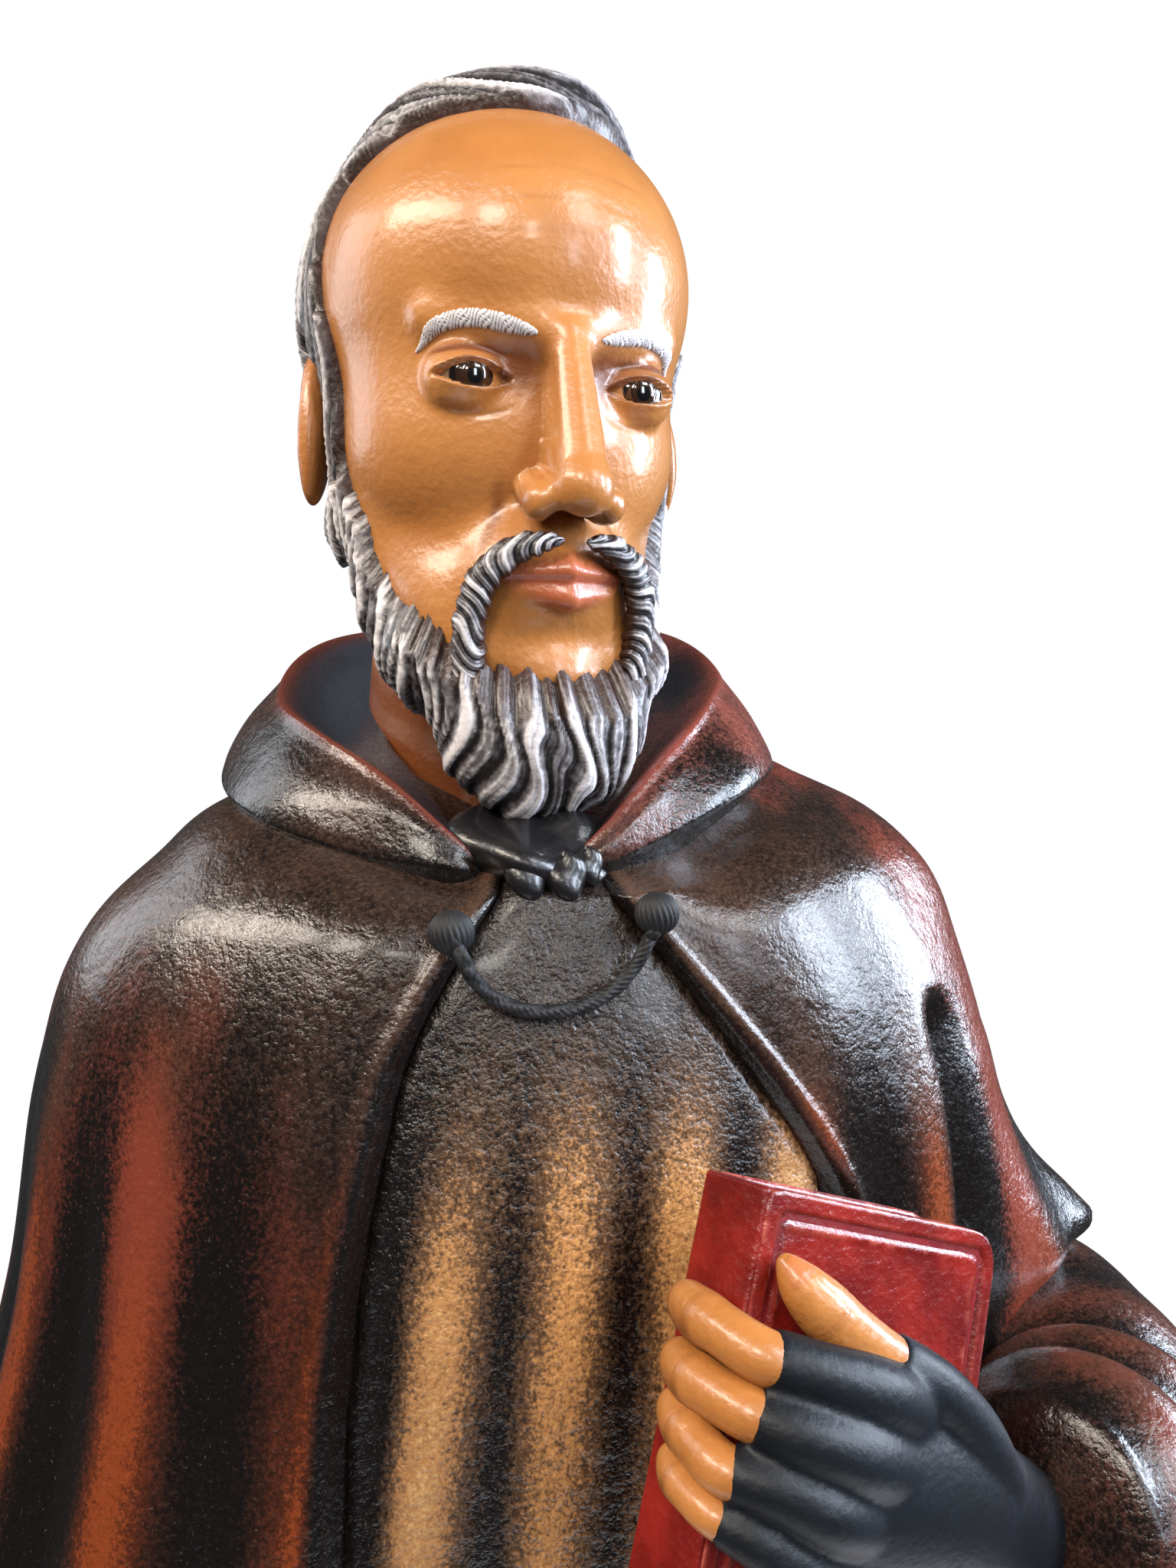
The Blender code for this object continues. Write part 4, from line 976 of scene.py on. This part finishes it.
def cord_line():
    spots = [knob_place(*knob_left), knob_place(*knob_right)]
    bows = []
    for k in range(61):
        t = k / 60
        at = spots[0].lerp(spots[1], t)
        at.z -= cord_sag * 4 * t * (1 - t)
        at.x -= 0.004 * math.sin(2 * math.pi * t)
        clear_of = min(surface_at(at.x, at.z + dz) for dz in (-0.003, 0, 0.003)) - cord_width / 2 - 0.0016
        at.y = min(clear_of, at.y)
        bows.append(at)
    smooth = []
    for k, at in enumerate(bows):
        near = bows[max(0, k - 6):k + 7]
        level = sum((p.y for p in near), 0.0) / len(near)
        smooth.append(Vector((at.x, min(level, at.y + 0.0006), at.z)))
    return [p for p in smooth if min((p - spot).length for spot in spots) > knob_radius * 0.55]


def cord_piece(name, line, width, twists, columns=24, rows=300):
    """Three twisted strands as one ribbed tube, and the middles of its rings."""
    points, length = along([tuple(p) for p in line])

    def place(u, v):
        at = on_line(points, length, v)
        side, over = across(points, length, v, (0, 1, 0))
        a = u * TAU
        turn = 3 * a - v * twists * TAU
        ends = np.clip(np.minimum(v, 1 - v) / 0.012, 0, 1) ** 0.5
        strand = np.abs(np.cos(turn / 2)) ** 0.8
        thread = 0.5 + 0.5 * np.cos(turn * 6 + v * 90)
        r = (width / 2) * (0.8 + 0.2 * strand + 0.03 * thread) * ends
        return at + r[:, None] * (np.cos(a)[:, None] * side
                                  + np.sin(a)[:, None] * over), {"ridge": strand, "fuzz": thread}

    v = np.linspace(0, 1, rows + 1)
    rings = to_world(on_line(points, length, v))
    return form(name, columns, rows, place, full=True), rings


def knob(name, spot):
    """A button of black thread, drawn out into the cord's end."""
    at = np.array(knob_place(*spot))

    def relief(a, e, way):
        fan = 0.05 * np.cos(a * 22 + 6 * e)
        return fan * np.cos(e) ** 2 - 0.02

    return ball(name, at, (knob_radius,) * 3, 110, 40, relief)


# cloth parts of the arm
def soft_folds(count, depth, start, twist=0.8, sharp=0.6, seed=0.0):
    """Folds round a sleeve, deep near its cuff and soft above."""
    def relief(a, v):
        near = step(v, start, start + 0.25)
        phase = v * count * TAU + twist * np.sin(a + seed) + 0.5 * np.sin(2 * a + 3 * v)
        fold = ridges(phase, sharp)
        lip = bell(v - 0.985, 0.02)
        return ((depth * (0.25 + 0.75 * near) * (fold - 0.55) * 2 + 0.0012 * lip),
                {"ridge": np.clip(0.25 + 0.55 * fold * near + 0.25 * (1 - near) * fold, 0, 1), "lit": 0.1
                 + 0 * near,
                 "blush": 0.35 + 0.45 * near * fold})

    return relief


def arm():
    return [
        tube("sleeve", ((0.158, -0.005, 0.79), (0.178, -0.046, 0.776), (0.166, -0.088, 0.77),
                        (0.139, -0.117, 0.782), (0.117, -0.13, 0.79)),
             (0.036, 0.043, 0.042, 0.037, 0.033), 104, 140, relief=soft_folds(4.5, 0.0036, 0.5, 0.9,
                                                                              0.8), dome=40),
        tube("sleeve_bell", ((0.14, -0.03, 0.77), (0.15, -0.058, 0.742), (0.14, -0.09, 0.735),
                             (0.124, -0.112, 0.745)),
             (0.03, 0.034, 0.032, 0.024), 80, 80, relief=soft_folds(3, 0.001, 0.1, 1.2, 0.8, 1.0)),
    ]


def foot(side):
    turn = math.radians(9) * side

    def at(x, y, z):
        c, s = math.cos(turn), math.sin(turn)
        return (side * 0.052 + c * x - s * y, -0.085 + s * x + c * y, z)

    bm = bmesh.new()
    parts = [tube("part", [at(0, 0.08, 0.03), at(0, 0.02, 0.03), at(0, -0.03, 0.019), at(0, -0.064, 0.012)],
                  (0.026, 0.027, 0.027, 0.024), 60, 60, squash=0.6)]
    for i in range(5):
        spread = (i - 2) * 0.0096 * side
        reach = -0.066 + 0.0035 * abs(i - 1) ** 1.4
        parts.append(ball("part", at(-spread, reach, 0.0135), (0.0054, 0.013, 0.0066), 28, 24))
    for part in parts:
        bm.from_mesh(part.data)
        bpy.data.objects.remove(part, do_unlink=True)
    skin = piece(sided("foot", side), bm)
    sole = tube(sided("sandal_sole", side),
                [at(0, 0.08, 0.0035), at(0, 0.0, 0.0035), at(0, -0.05, 0.0035), at(0, -0.078, 0.0035)],
                (0.03, 0.032, 0.034, 0.026), 50, 60, squash=0.22)
    strap = tube(sided("sandal_strap", side),
                 [at(-0.026, -0.03, 0.006), at(-0.019, -0.031, 0.024), at(0, -0.032, 0.034),
                  at(0.019, -0.031, 0.024), at(0.026, -0.03, 0.006)],
                 [0.0065] * 5, 20, 60, squash=0.3, up=(0, 1, 0))
    return skin, sole, strap


def rope_relief(count, depth):
    def relief(a, v):
        turn = 3 * a - v * count * TAU
        strand = np.abs(np.cos(turn / 2)) ** 0.8
        return depth * (strand - 0.7), {"ridge": strand, "fuzz": 0.5 + 0.5 * np.cos(turn * 5)}

    return relief


def belt():
    turns = np.radians(np.linspace(-44, 44, 15))
    level = belt_level - 0.01 * np.cos(turns)
    front = around(turns, habit_radius(turns, level) + 0.0035, level)
    tail_angle = np.full(12, math.radians(-16))
    drop = np.linspace(belt_level - 0.008, 0.34, 12)
    down = around(tail_angle, habit_radius(tail_angle, drop) + 0.004, drop)
    out = [
        tube("rope_belt", front, [belt_width / 2] * 15, 18, 260, relief=rope_relief(24, 0.0012)),
        tube("rope_belt_end", down, [belt_width * 0.42] * 12, 18, 330, up=(1, 0, 0),
             relief=rope_relief(40, 0.001)),
    ]
    for n, z in enumerate((0.56, 0.47, 0.38, belt_level - 0.01)):
        spot = around(tail_angle[:1], habit_radius(tail_angle[:1], np.array([z])) + 0.005, np.array([z]))[0]
        out.append(ball(f"rope_knot_{n + 1}", spot, (0.0095, 0.008, 0.012), 40, 28,
                        lambda a, e, way: 0.06 * np.cos(e * 9 + a)))
    return out


# materials
def new_material(name):
    material = bpy.data.materials.new(name)
    material.use_nodes = True
    tree = material.node_tree
    return material, tree, tree.nodes["Principled BSDF"]


def link(tree, a, b):
    tree.links.new(a, b)


def value_of(tree, name):
    node = tree.nodes.new("ShaderNodeAttribute")
    node.attribute_name = name
    return node.outputs["Fac"]


def maths(tree, kind, a, b):
    node = tree.nodes.new("ShaderNodeMath")
    node.operation = kind
    for socket, given in zip(node.inputs, (a, b)):
        if isinstance(given, (int, float)):
            socket.default_value = given
        else:
            link(tree, given, socket)
    return node.outputs[0]


def times(tree, a, b):
    return maths(tree, "MULTIPLY", a, b)


def plus(tree, a, b):
    return maths(tree, "ADD", a, b)


def centred(tree, value):
    return maths(tree, "SUBTRACT", value, 0.5)


def spread(tree, value, low, high, out_low=0.0, out_high=1.0):
    node = tree.nodes.new("ShaderNodeMapRange")
    node.interpolation_type = "SMOOTHSTEP"
    link(tree, value, node.inputs["Value"])
    node.inputs["From Min"].default_value = low
    node.inputs["From Max"].default_value = high
    node.inputs["To Min"].default_value = out_low
    node.inputs["To Max"].default_value = out_high
    return node.outputs["Result"]


def mixed(tree, share, a, b):
    node = tree.nodes.new("ShaderNodeMix")
    node.data_type = "RGBA"
    if isinstance(share, (int, float)):
        node.inputs["Factor"].default_value = share
    else:
        link(tree, share, node.inputs["Factor"])
    for socket, given in ((node.inputs[6], a), (node.inputs[7], b)):
        if isinstance(given, tuple):
            socket.default_value = (*given, 1)
        else:
            link(tree, given, socket)
    return node.outputs[2]


def noise(tree, scale, detail=3.0, rough=0.55, stretch=(1, 1, 1)):
    coords = tree.nodes.new("ShaderNodeTexCoord").outputs["Object"]
    if stretch != (1, 1, 1):
        mapping = tree.nodes.new("ShaderNodeMapping")
        mapping.inputs["Scale"].default_value = stretch
        link(tree, coords, mapping.inputs["Vector"])
        coords = mapping.outputs["Vector"]
    node = tree.nodes.new("ShaderNodeTexNoise")
    node.inputs["Scale"].default_value = scale
    node.inputs["Detail"].default_value = detail
    node.inputs["Roughness"].default_value = rough
    link(tree, coords, node.inputs["Vector"])
    return node.outputs["Fac"]


def bump(tree, shader, height, distance, strength=1.0):
    node = tree.nodes.new("ShaderNodeBump")
    node.inputs["Distance"].default_value = distance
    node.inputs["Strength"].default_value = strength
    link(tree, height, node.inputs["Height"])
    link(tree, node.outputs["Normal"], shader.inputs["Normal"])


def dress(tree, shader, colour, rough=0.5, coat=0.0, coat_rough=0.03):
    """The shader's colour, its gloss and the varnish over it."""
    link(tree, colour, shader.inputs["Base Color"])
    shader.inputs["Roughness"].default_value = rough
    shader.inputs["Coat Weight"].default_value = coat
    shader.inputs["Coat Roughness"].default_value = coat_rough


def grain_group():
    """Pebbled, brushed paint: a height, a grain for colour, broad patches and small specks."""
    group = bpy.data.node_groups.new("pebbled_paint", "ShaderNodeTree")
    for name in ("Height", "Grain", "Patches", "Specks"):
        group.interface.new_socket(name=name, in_out="OUTPUT", socket_type="NodeSocketFloat")
    out = group.nodes.new("NodeGroupOutput")
    fine = noise(group, 1150, 2, 0.55)
    pebble = noise(group, 620, 2, 0.5)
    swell = noise(group, 190, 2, 0.45)
    height = plus(group, times(group, fine, 0.3), times(group, pebble, 0.4))
    link(group, plus(group, height, times(group, swell, 0.9)), out.inputs["Height"])
    link(group, plus(group, times(group, fine, 0.5), times(group, pebble, 0.5)),
         out.inputs["Grain"])
    link(group, noise(group, 15, 4, 0.6, (1, 1, 0.3)), out.inputs["Patches"])
    link(group, spread(group, noise(group, 1100, 1, 0.4), 0.7, 0.76), out.inputs["Specks"])
    return group


pebbled = grain_group()


def grain(tree):
    node = tree.nodes.new("ShaderNodeGroup")
    node.node_tree = pebbled
    return node.outputs


def cloth(name, tones, rough, relief, speckle, inside=False):
    """Dry-brushed cloth in pebbled gloss. tones: fold, middle, high, ridge, blush and unlit colours."""
    dark, mid, high, tip, red, plain_brown = tones
    material, tree, shader = new_material(name)
    g = grain(tree)
    grainy = centred(tree, g["Grain"])
    lifted = plus(tree, value_of(tree, "ridge"), times(tree, grainy, speckle))
    lifted = plus(tree, lifted, times(tree, centred(tree, g["Patches"]), 0.9))
    warm = mixed(tree, spread(tree, lifted, 0.2, 0.6), dark, mid)
    warm = mixed(tree, spread(tree, lifted, 0.5, 0.82), warm, high)
    warm = mixed(tree, spread(tree, lifted, 0.78, 1.1), warm, tip)
    cool = mixed(tree, spread(tree, lifted, 0.15, 0.95), dark, plain_brown)
    colour = mixed(tree, value_of(tree, "lit"), cool, warm)
    patch = times(tree, value_of(tree, "blush"), spread(tree, lifted, 0.15, 0.75))
    patch = times(tree, patch, spread(tree, g["Patches"], 0.36, 0.56))
    colour = mixed(tree, times(tree, patch, 0.85), colour, red)
    colour = mixed(tree, times(tree, g["Specks"], 0.12), colour, (0.4, 0.28, 0.18))
    if inside:
        colour = mixed(tree, value_of(tree, "inside"), colour, (0.03, 0.038, 0.055))
        colour = mixed(tree, times(tree, value_of(tree, "rim"), 0.6), colour, (0.17, 0.03, 0.018))
    dress(tree, shader, colour, coat=0.15, coat_rough=0.12)
    link(tree, spread(tree, g["Grain"], 0.3, 0.7, rough - 0.06, rough + 0.12), shader.inputs["Roughness"])
    bump(tree, shader, g["Height"], relief)
    return material


def skin_material():
    material, tree, shader = new_material("painted_skin")
    tone = noise(tree, 24, 3, 0.5)
    colour = mixed(tree, spread(tree, tone, 0.35, 0.65), (0.4, 0.15, 0.035), (0.48, 0.195, 0.052))
    # painted shade: the dark value mixes a dark brown into the recesses, creases and undersides and onto
    # the neck
    colour = mixed(tree, spread(tree, value_of(tree, "dark"), 0.0, 1.0, 0.0, 0.9), colour,
                   (0.13, 0.03, 0.008))
    colour = mixed(tree, times(tree, value_of(tree, "flush"), 0.8), colour, (0.42, 0.09, 0.045))
    dress(tree, shader, colour, 0.37, 0.3, 0.16)
    bump(tree, shader, noise(tree, 430, 2, 0.5), 0.0005, 0.6)
    return material


def hair_material():
    material, tree, shader = new_material("painted_hair")
    lock = value_of(tree, "lock")
    rough_noise = noise(tree, 420, 2, 0.5)
    lifted = plus(tree, lock, times(tree, centred(tree, rough_noise), 0.55))
    lifted = plus(tree, lifted, times(tree, centred(tree, value_of(tree, "hairs")), 0.12))
    colour = mixed(tree, spread(tree, lifted, 0.16, 0.5), (0.012, 0.009, 0.009), (0.14, 0.128, 0.135))
    colour = mixed(tree, spread(tree, lifted, 0.4, 0.86), colour, (0.7, 0.66, 0.67))
    # painted shade: rim mixes a dark brown into the edges of the hair and beard and under the moustache
    colour = mixed(tree, times(tree, value_of(tree, "rim"), 0.92), colour, (0.045, 0.014, 0.007))
    dress(tree, shader, colour, 0.42, 0.15)
    bump(tree, shader, rough_noise, 0.0006, 0.7)
    return material


def plain(name, colour, rough, coat=0.0, grainy=0.0, second=None):
    material, tree, shader = new_material(name)
    tone = noise(tree, 60, 3, 0.55)
    second = second or tuple(c * 0.7 for c in colour)
    dress(tree, shader, mixed(tree, spread(tree, tone, 0.35, 0.68), second, colour), rough, coat, 0.15)
    if grainy:
        bump(tree, shader, noise(tree, 420, 3, 0.55), grainy, 0.6)
    return material


def book_material():
    material, tree, shader = new_material("painted_book")
    tone = noise(tree, 45, 4, 0.6)
    colour = mixed(tree, spread(tree, tone, 0.35, 0.7), (0.12, 0.004, 0.0035), (0.25, 0.013, 0.008))
    worn = times(tree, value_of(tree, "worn"), spread(tree, noise(tree, 160, 3, 0.6), 0.42, 0.62))
    colour = mixed(tree, times(tree, worn, 0.6), colour, (0.5, 0.12, 0.08))
    # painted shade: deep darkens the groove inside the cover's border
    colour = mixed(tree, times(tree, value_of(tree, "deep"), 0.8), colour, (0.035, 0.003, 0.003))
    dress(tree, shader, colour, 0.3, 0.3, 0.15)
    bump(tree, shader, noise(tree, 380, 3, 0.6), 0.0007, 0.7)
    return material


def eye_material():
    material, tree, shader = new_material("eye_glass")
    off = value_of(tree, "off")
    colour = mixed(tree, spread(tree, off, 11, 14), (0.002, 0.002, 0.002), (0.03, 0.012, 0.005))
    colour = mixed(tree, spread(tree, off, 27, 34), colour, (0.006, 0.004, 0.003))
    colour = mixed(tree, spread(tree, off, 41, 45), colour, (0.25, 0.15, 0.09))
    dress(tree, shader, colour, 0.12, 1.0, 0.02)
    return material


def rope_material(name, dark, light, rough):
    material, tree, shader = new_material(name)
    tone = plus(tree, value_of(tree, "ridge"), times(tree, centred(tree, noise(tree, 700, 2, 0.5)), 0.8))
    dress(tree, shader, mixed(tree, spread(tree, tone, 0.2, 1.0), dark, light), rough)
    bump(tree, shader, plus(tree, value_of(tree, "fuzz"), noise(tree, 900, 2, 0.5)), 0.00025, 0.7)
    return material


def wear(thing, material, stands_for=("figure",)):
    thing.data.materials.clear()
    thing.data.materials.append(material)
    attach(thing, "root")
    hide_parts(*stands_for)


dark_paint = (0.005, 0.0033, 0.003)
cloak_paint = cloth("cloak_paint", (dark_paint, (0.022, 0.008, 0.005), (0.065, 0.015, 0.006),
                                    (0.2, 0.04, 0.01),
                                    (0.19, 0.036, 0.02), (0.066, 0.034, 0.021)), 0.22, 0.00055, 1.2)
habit_paint = cloth("habit_paint", (dark_paint, (0.13, 0.065, 0.03), (0.6, 0.285, 0.098),
                                    (0.92, 0.56, 0.22),
                                    (0.3, 0.12, 0.035), (0.08, 0.05, 0.035)), 0.24, 0.0011, 1.1)
collar_paint = cloth("collar_paint", (dark_paint, (0.03, 0.014, 0.01), (0.09, 0.03, 0.018),
                                      (0.14, 0.04, 0.022),
                                      (0.34, 0.085, 0.06), (0.07, 0.038, 0.027)), 0.22, 0.00055, 1.2, True)
skin_paint = skin_material()
hair_paint = hair_material()
glove_paint = plain("glove_paint", (0.005, 0.0068, 0.0105), 0.48, 0.0, 0.0004, (0.004, 0.005, 0.007))
glove_paint.node_tree.nodes["Principled BSDF"].inputs["Specular IOR Level"].default_value = 0.3
book_paint = book_material()
page_paint = plain("page_paint", (0.22, 0.01, 0.012), 0.42, 0.2, 0.0004)
throat_paint = plain("throat_paint", (0.008, 0.007, 0.008), 0.32, 0.2, 0.0004)
eye_paint = eye_material()
cord_paint = rope_material("cord_thread", (0.0015, 0.0015, 0.002), (0.008, 0.008, 0.01), 0.6)
knob_paint = plain("knob_thread", (0.012, 0.012, 0.014), 0.62, 0.0, 0.0003, (0.005, 0.005, 0.006))
rope_paint = rope_material("rope_paint", (0.1, 0.055, 0.03), (0.5, 0.4, 0.26), 0.5)
sandal_paint = plain("sandal_paint", (0.05, 0.022, 0.012), 0.4, 0.2, 0.0004)
base_paint = plain("base_paint", (0.03, 0.02, 0.016), 0.38, 0.25, 0.0005, (0.012, 0.009, 0.008))

for name, columns, rows, place, paint in (
        ("habit", 230, 150, habit_place, habit_paint), ("cloak", 320, 200, cloak_place, cloak_paint),
        ("collar", 64, 300, collar_place, collar_paint), ("head_skin", 240, 220, skin_place, skin_paint),
        ("hair", 440, 160, hair_place, hair_paint), ("beard", 300, 210, beard_place, hair_paint)):
    wear(form(name, columns, rows, place), paint)
for side in (1, -1):
    wear(moustache(side), hair_paint)
    wear(eyebrow(side), hair_paint)
    wear(ear(side), skin_paint)
    wear(eyeball(side), eye_paint, (sided("eye", side),))
    skin, sole, strap = foot(side)
    wear(skin, skin_paint)
    wear(sole, sandal_paint)
    wear(strap, sandal_paint)
wear(ball("throat", (-0.007, -0.044, 0.961), (0.03, 0.034, 0.016), 80, 50,
          lambda a, e, way: 0.1 * np.sin(3 * a + 4 * e) + 0.05 * np.cos(7 * a)), throat_paint)
throat_folds = ((-0.0115, -0.0765, 0.9585, 0.0065), (-0.001, -0.0775, 0.9575, 0.006),
                (0.006, -0.0745, 0.9605, 0.0045))
for number, (x, y, z, r) in enumerate(throat_folds):
    wear(ball(f"throat_fold_{number + 1}", (x, y, z), (r, r * 0.9, r * 1.25), 48, 36,
              lambda a, e, way: 0.12 * np.sin(2 * a + 3 * e)), throat_paint)
for sleeve in arm():
    wear(sleeve, cloak_paint)
for name, points in fingers.items():
    grow = (0.5, 0.92, 1.08, 1.02, 0.95) if name == "thumb" else (0.88, 1, 1, 1.04, 1)
    radii = [finger_radius[name] * share for share in grow]
    wear(finger(name + "_finger", [on_book(*p) for p in points], radii), skin_paint)
wear(glove(), glove_paint)
wear(board("book_front", -book_board * 1000, 0, True), book_paint)
wear(board("book_back", -book_thick * 1000, (book_board - book_thick) * 1000, False), book_paint)
wear(slab("book_spine", -1, 4, -book_length * 1000 + 0.2, -0.2, -book_thick * 1000 + 0.5, -0.5, 0.001),
     book_paint)
wear(slab("book_pages", 1, (book_width - book_inset) * 1000, (book_inset - book_length) * 1000,
          -book_inset * 1000, -book_thick * 1000 + 1, -1, 0.0005), page_paint)
for rope in belt():
    wear(rope, rope_paint)
wear(plinth(), base_paint, ("base",))

string, rings = cord_piece("thread_cord", cord_line(), cord_width, 9)
wear(string, cord_paint, ("cloak_cord",))
wear(knob("thread_knob_left", knob_right), knob_paint, ("cord_knob_left",))
wear(knob("thread_knob_right", knob_left), knob_paint, ("cord_knob_right",))

# floor, light and the photograph's view
scene = bpy.context.scene
bm = bmesh.new()
bmesh.ops.create_circle(bm, cap_ends=True, segments=96, radius=0.8)
floor = piece("floor", bm)
material, tree, shader = new_material("floor_white")
shader.inputs["Base Color"].default_value = (0.93, 0.93, 0.93, 1)
shader.inputs["Roughness"].default_value = 0.9
floor.data.materials.append(material)

world = bpy.data.worlds.new("room")
scene.world = world
world.use_nodes = True
tree = world.node_tree
back = tree.nodes["Background"]
seen = tree.nodes.new("ShaderNodeLightPath")
shine = tree.nodes.new("ShaderNodeBackground")
shine.inputs["Color"].default_value = (0.86, 0.93, 1.0, 1)
shine.inputs["Strength"].default_value = 0.07
back.inputs["Color"].default_value = (1, 1, 1, 1)
back.inputs["Strength"].default_value = 1.0
either = tree.nodes.new("ShaderNodeMixShader")
tree.links.new(seen.outputs["Is Camera Ray"], either.inputs[0])
tree.links.new(shine.outputs[0], either.inputs[1])
tree.links.new(back.outputs[0], either.inputs[2])
tree.links.new(either.outputs[0], tree.nodes["World Output"].inputs["Surface"])


def lamp(name, at, target, size, power, colour, size_y=None):
    light = bpy.data.lights.new(name, "AREA")
    light.energy, light.size, light.color = power, size, colour
    if size_y:
        light.shape, light.size_y = "RECTANGLE", size_y
    thing = bpy.data.objects.new(name, light)
    scene.collection.objects.link(thing)
    thing.location = at
    thing.rotation_mode = "QUATERNION"
    thing.rotation_quaternion = (Vector(target) - Vector(at)).to_track_quat("-Z", "Y")
    return thing


lamp("ceiling_left", (-1.3, -0.35, 2.1), (0, 0, 1.0), 1.2, 30, (1.0, 0.89, 0.76), 0.3)
lamp("ceiling_front", (-0.75, -1.35, 2.05), (0, 0, 1.08), 0.45, 20, (1.0, 0.92, 0.82), 0.45)
lamp("ceiling_right", (0.8, -1.2, 2.2), (0, 0, 1.05), 0.5, 14, (0.95, 0.97, 1.0), 0.7)
lamp("window_front", (0.6, -1.41, 1.42), (0, 0, 1.0), 0.2, 5, (0.8, 0.87, 1.0), 0.5)
lamp("ceiling_middle", (-0.1, -1.45, 1.65), (0, 0, 1.0), 0.15, 3, (1.0, 0.95, 0.88), 0.15)
lamp("window_right", (1.5, -0.87, 1.6), (0.1, 0, 1.0), 0.35, 46, (0.74, 0.84, 1.0), 1.0)
lamp("window_far_right", (1.8, 0.0, 1.35), (0.1, 0, 1.0), 0.4, 42, (0.74, 0.84, 1.0), 0.9)
lamp("window_back", (-1.4, 0.9, 1.7), (0, 0, 1.05), 0.8, 10, (0.9, 0.94, 1.0), 1.1)

camera = bpy.data.cameras.new("camera")
view = bpy.data.objects.new("camera", camera)
scene.collection.objects.link(view)
scene.camera = view
camera.lens = 27
camera.sensor_width = 36
camera.clip_start = 0.01
view.location = (-0.0739, -0.3958, 1.0516)
turned, bowed = math.radians(14), math.radians(3)
ahead = Vector((math.sin(turned) * math.cos(bowed), math.cos(turned) * math.cos(bowed), -math.sin(bowed)))
view.rotation_mode = "QUATERNION"
view.rotation_quaternion = ahead.to_track_quat("-Z", "Y")
scene.view_settings.view_transform = "Standard"
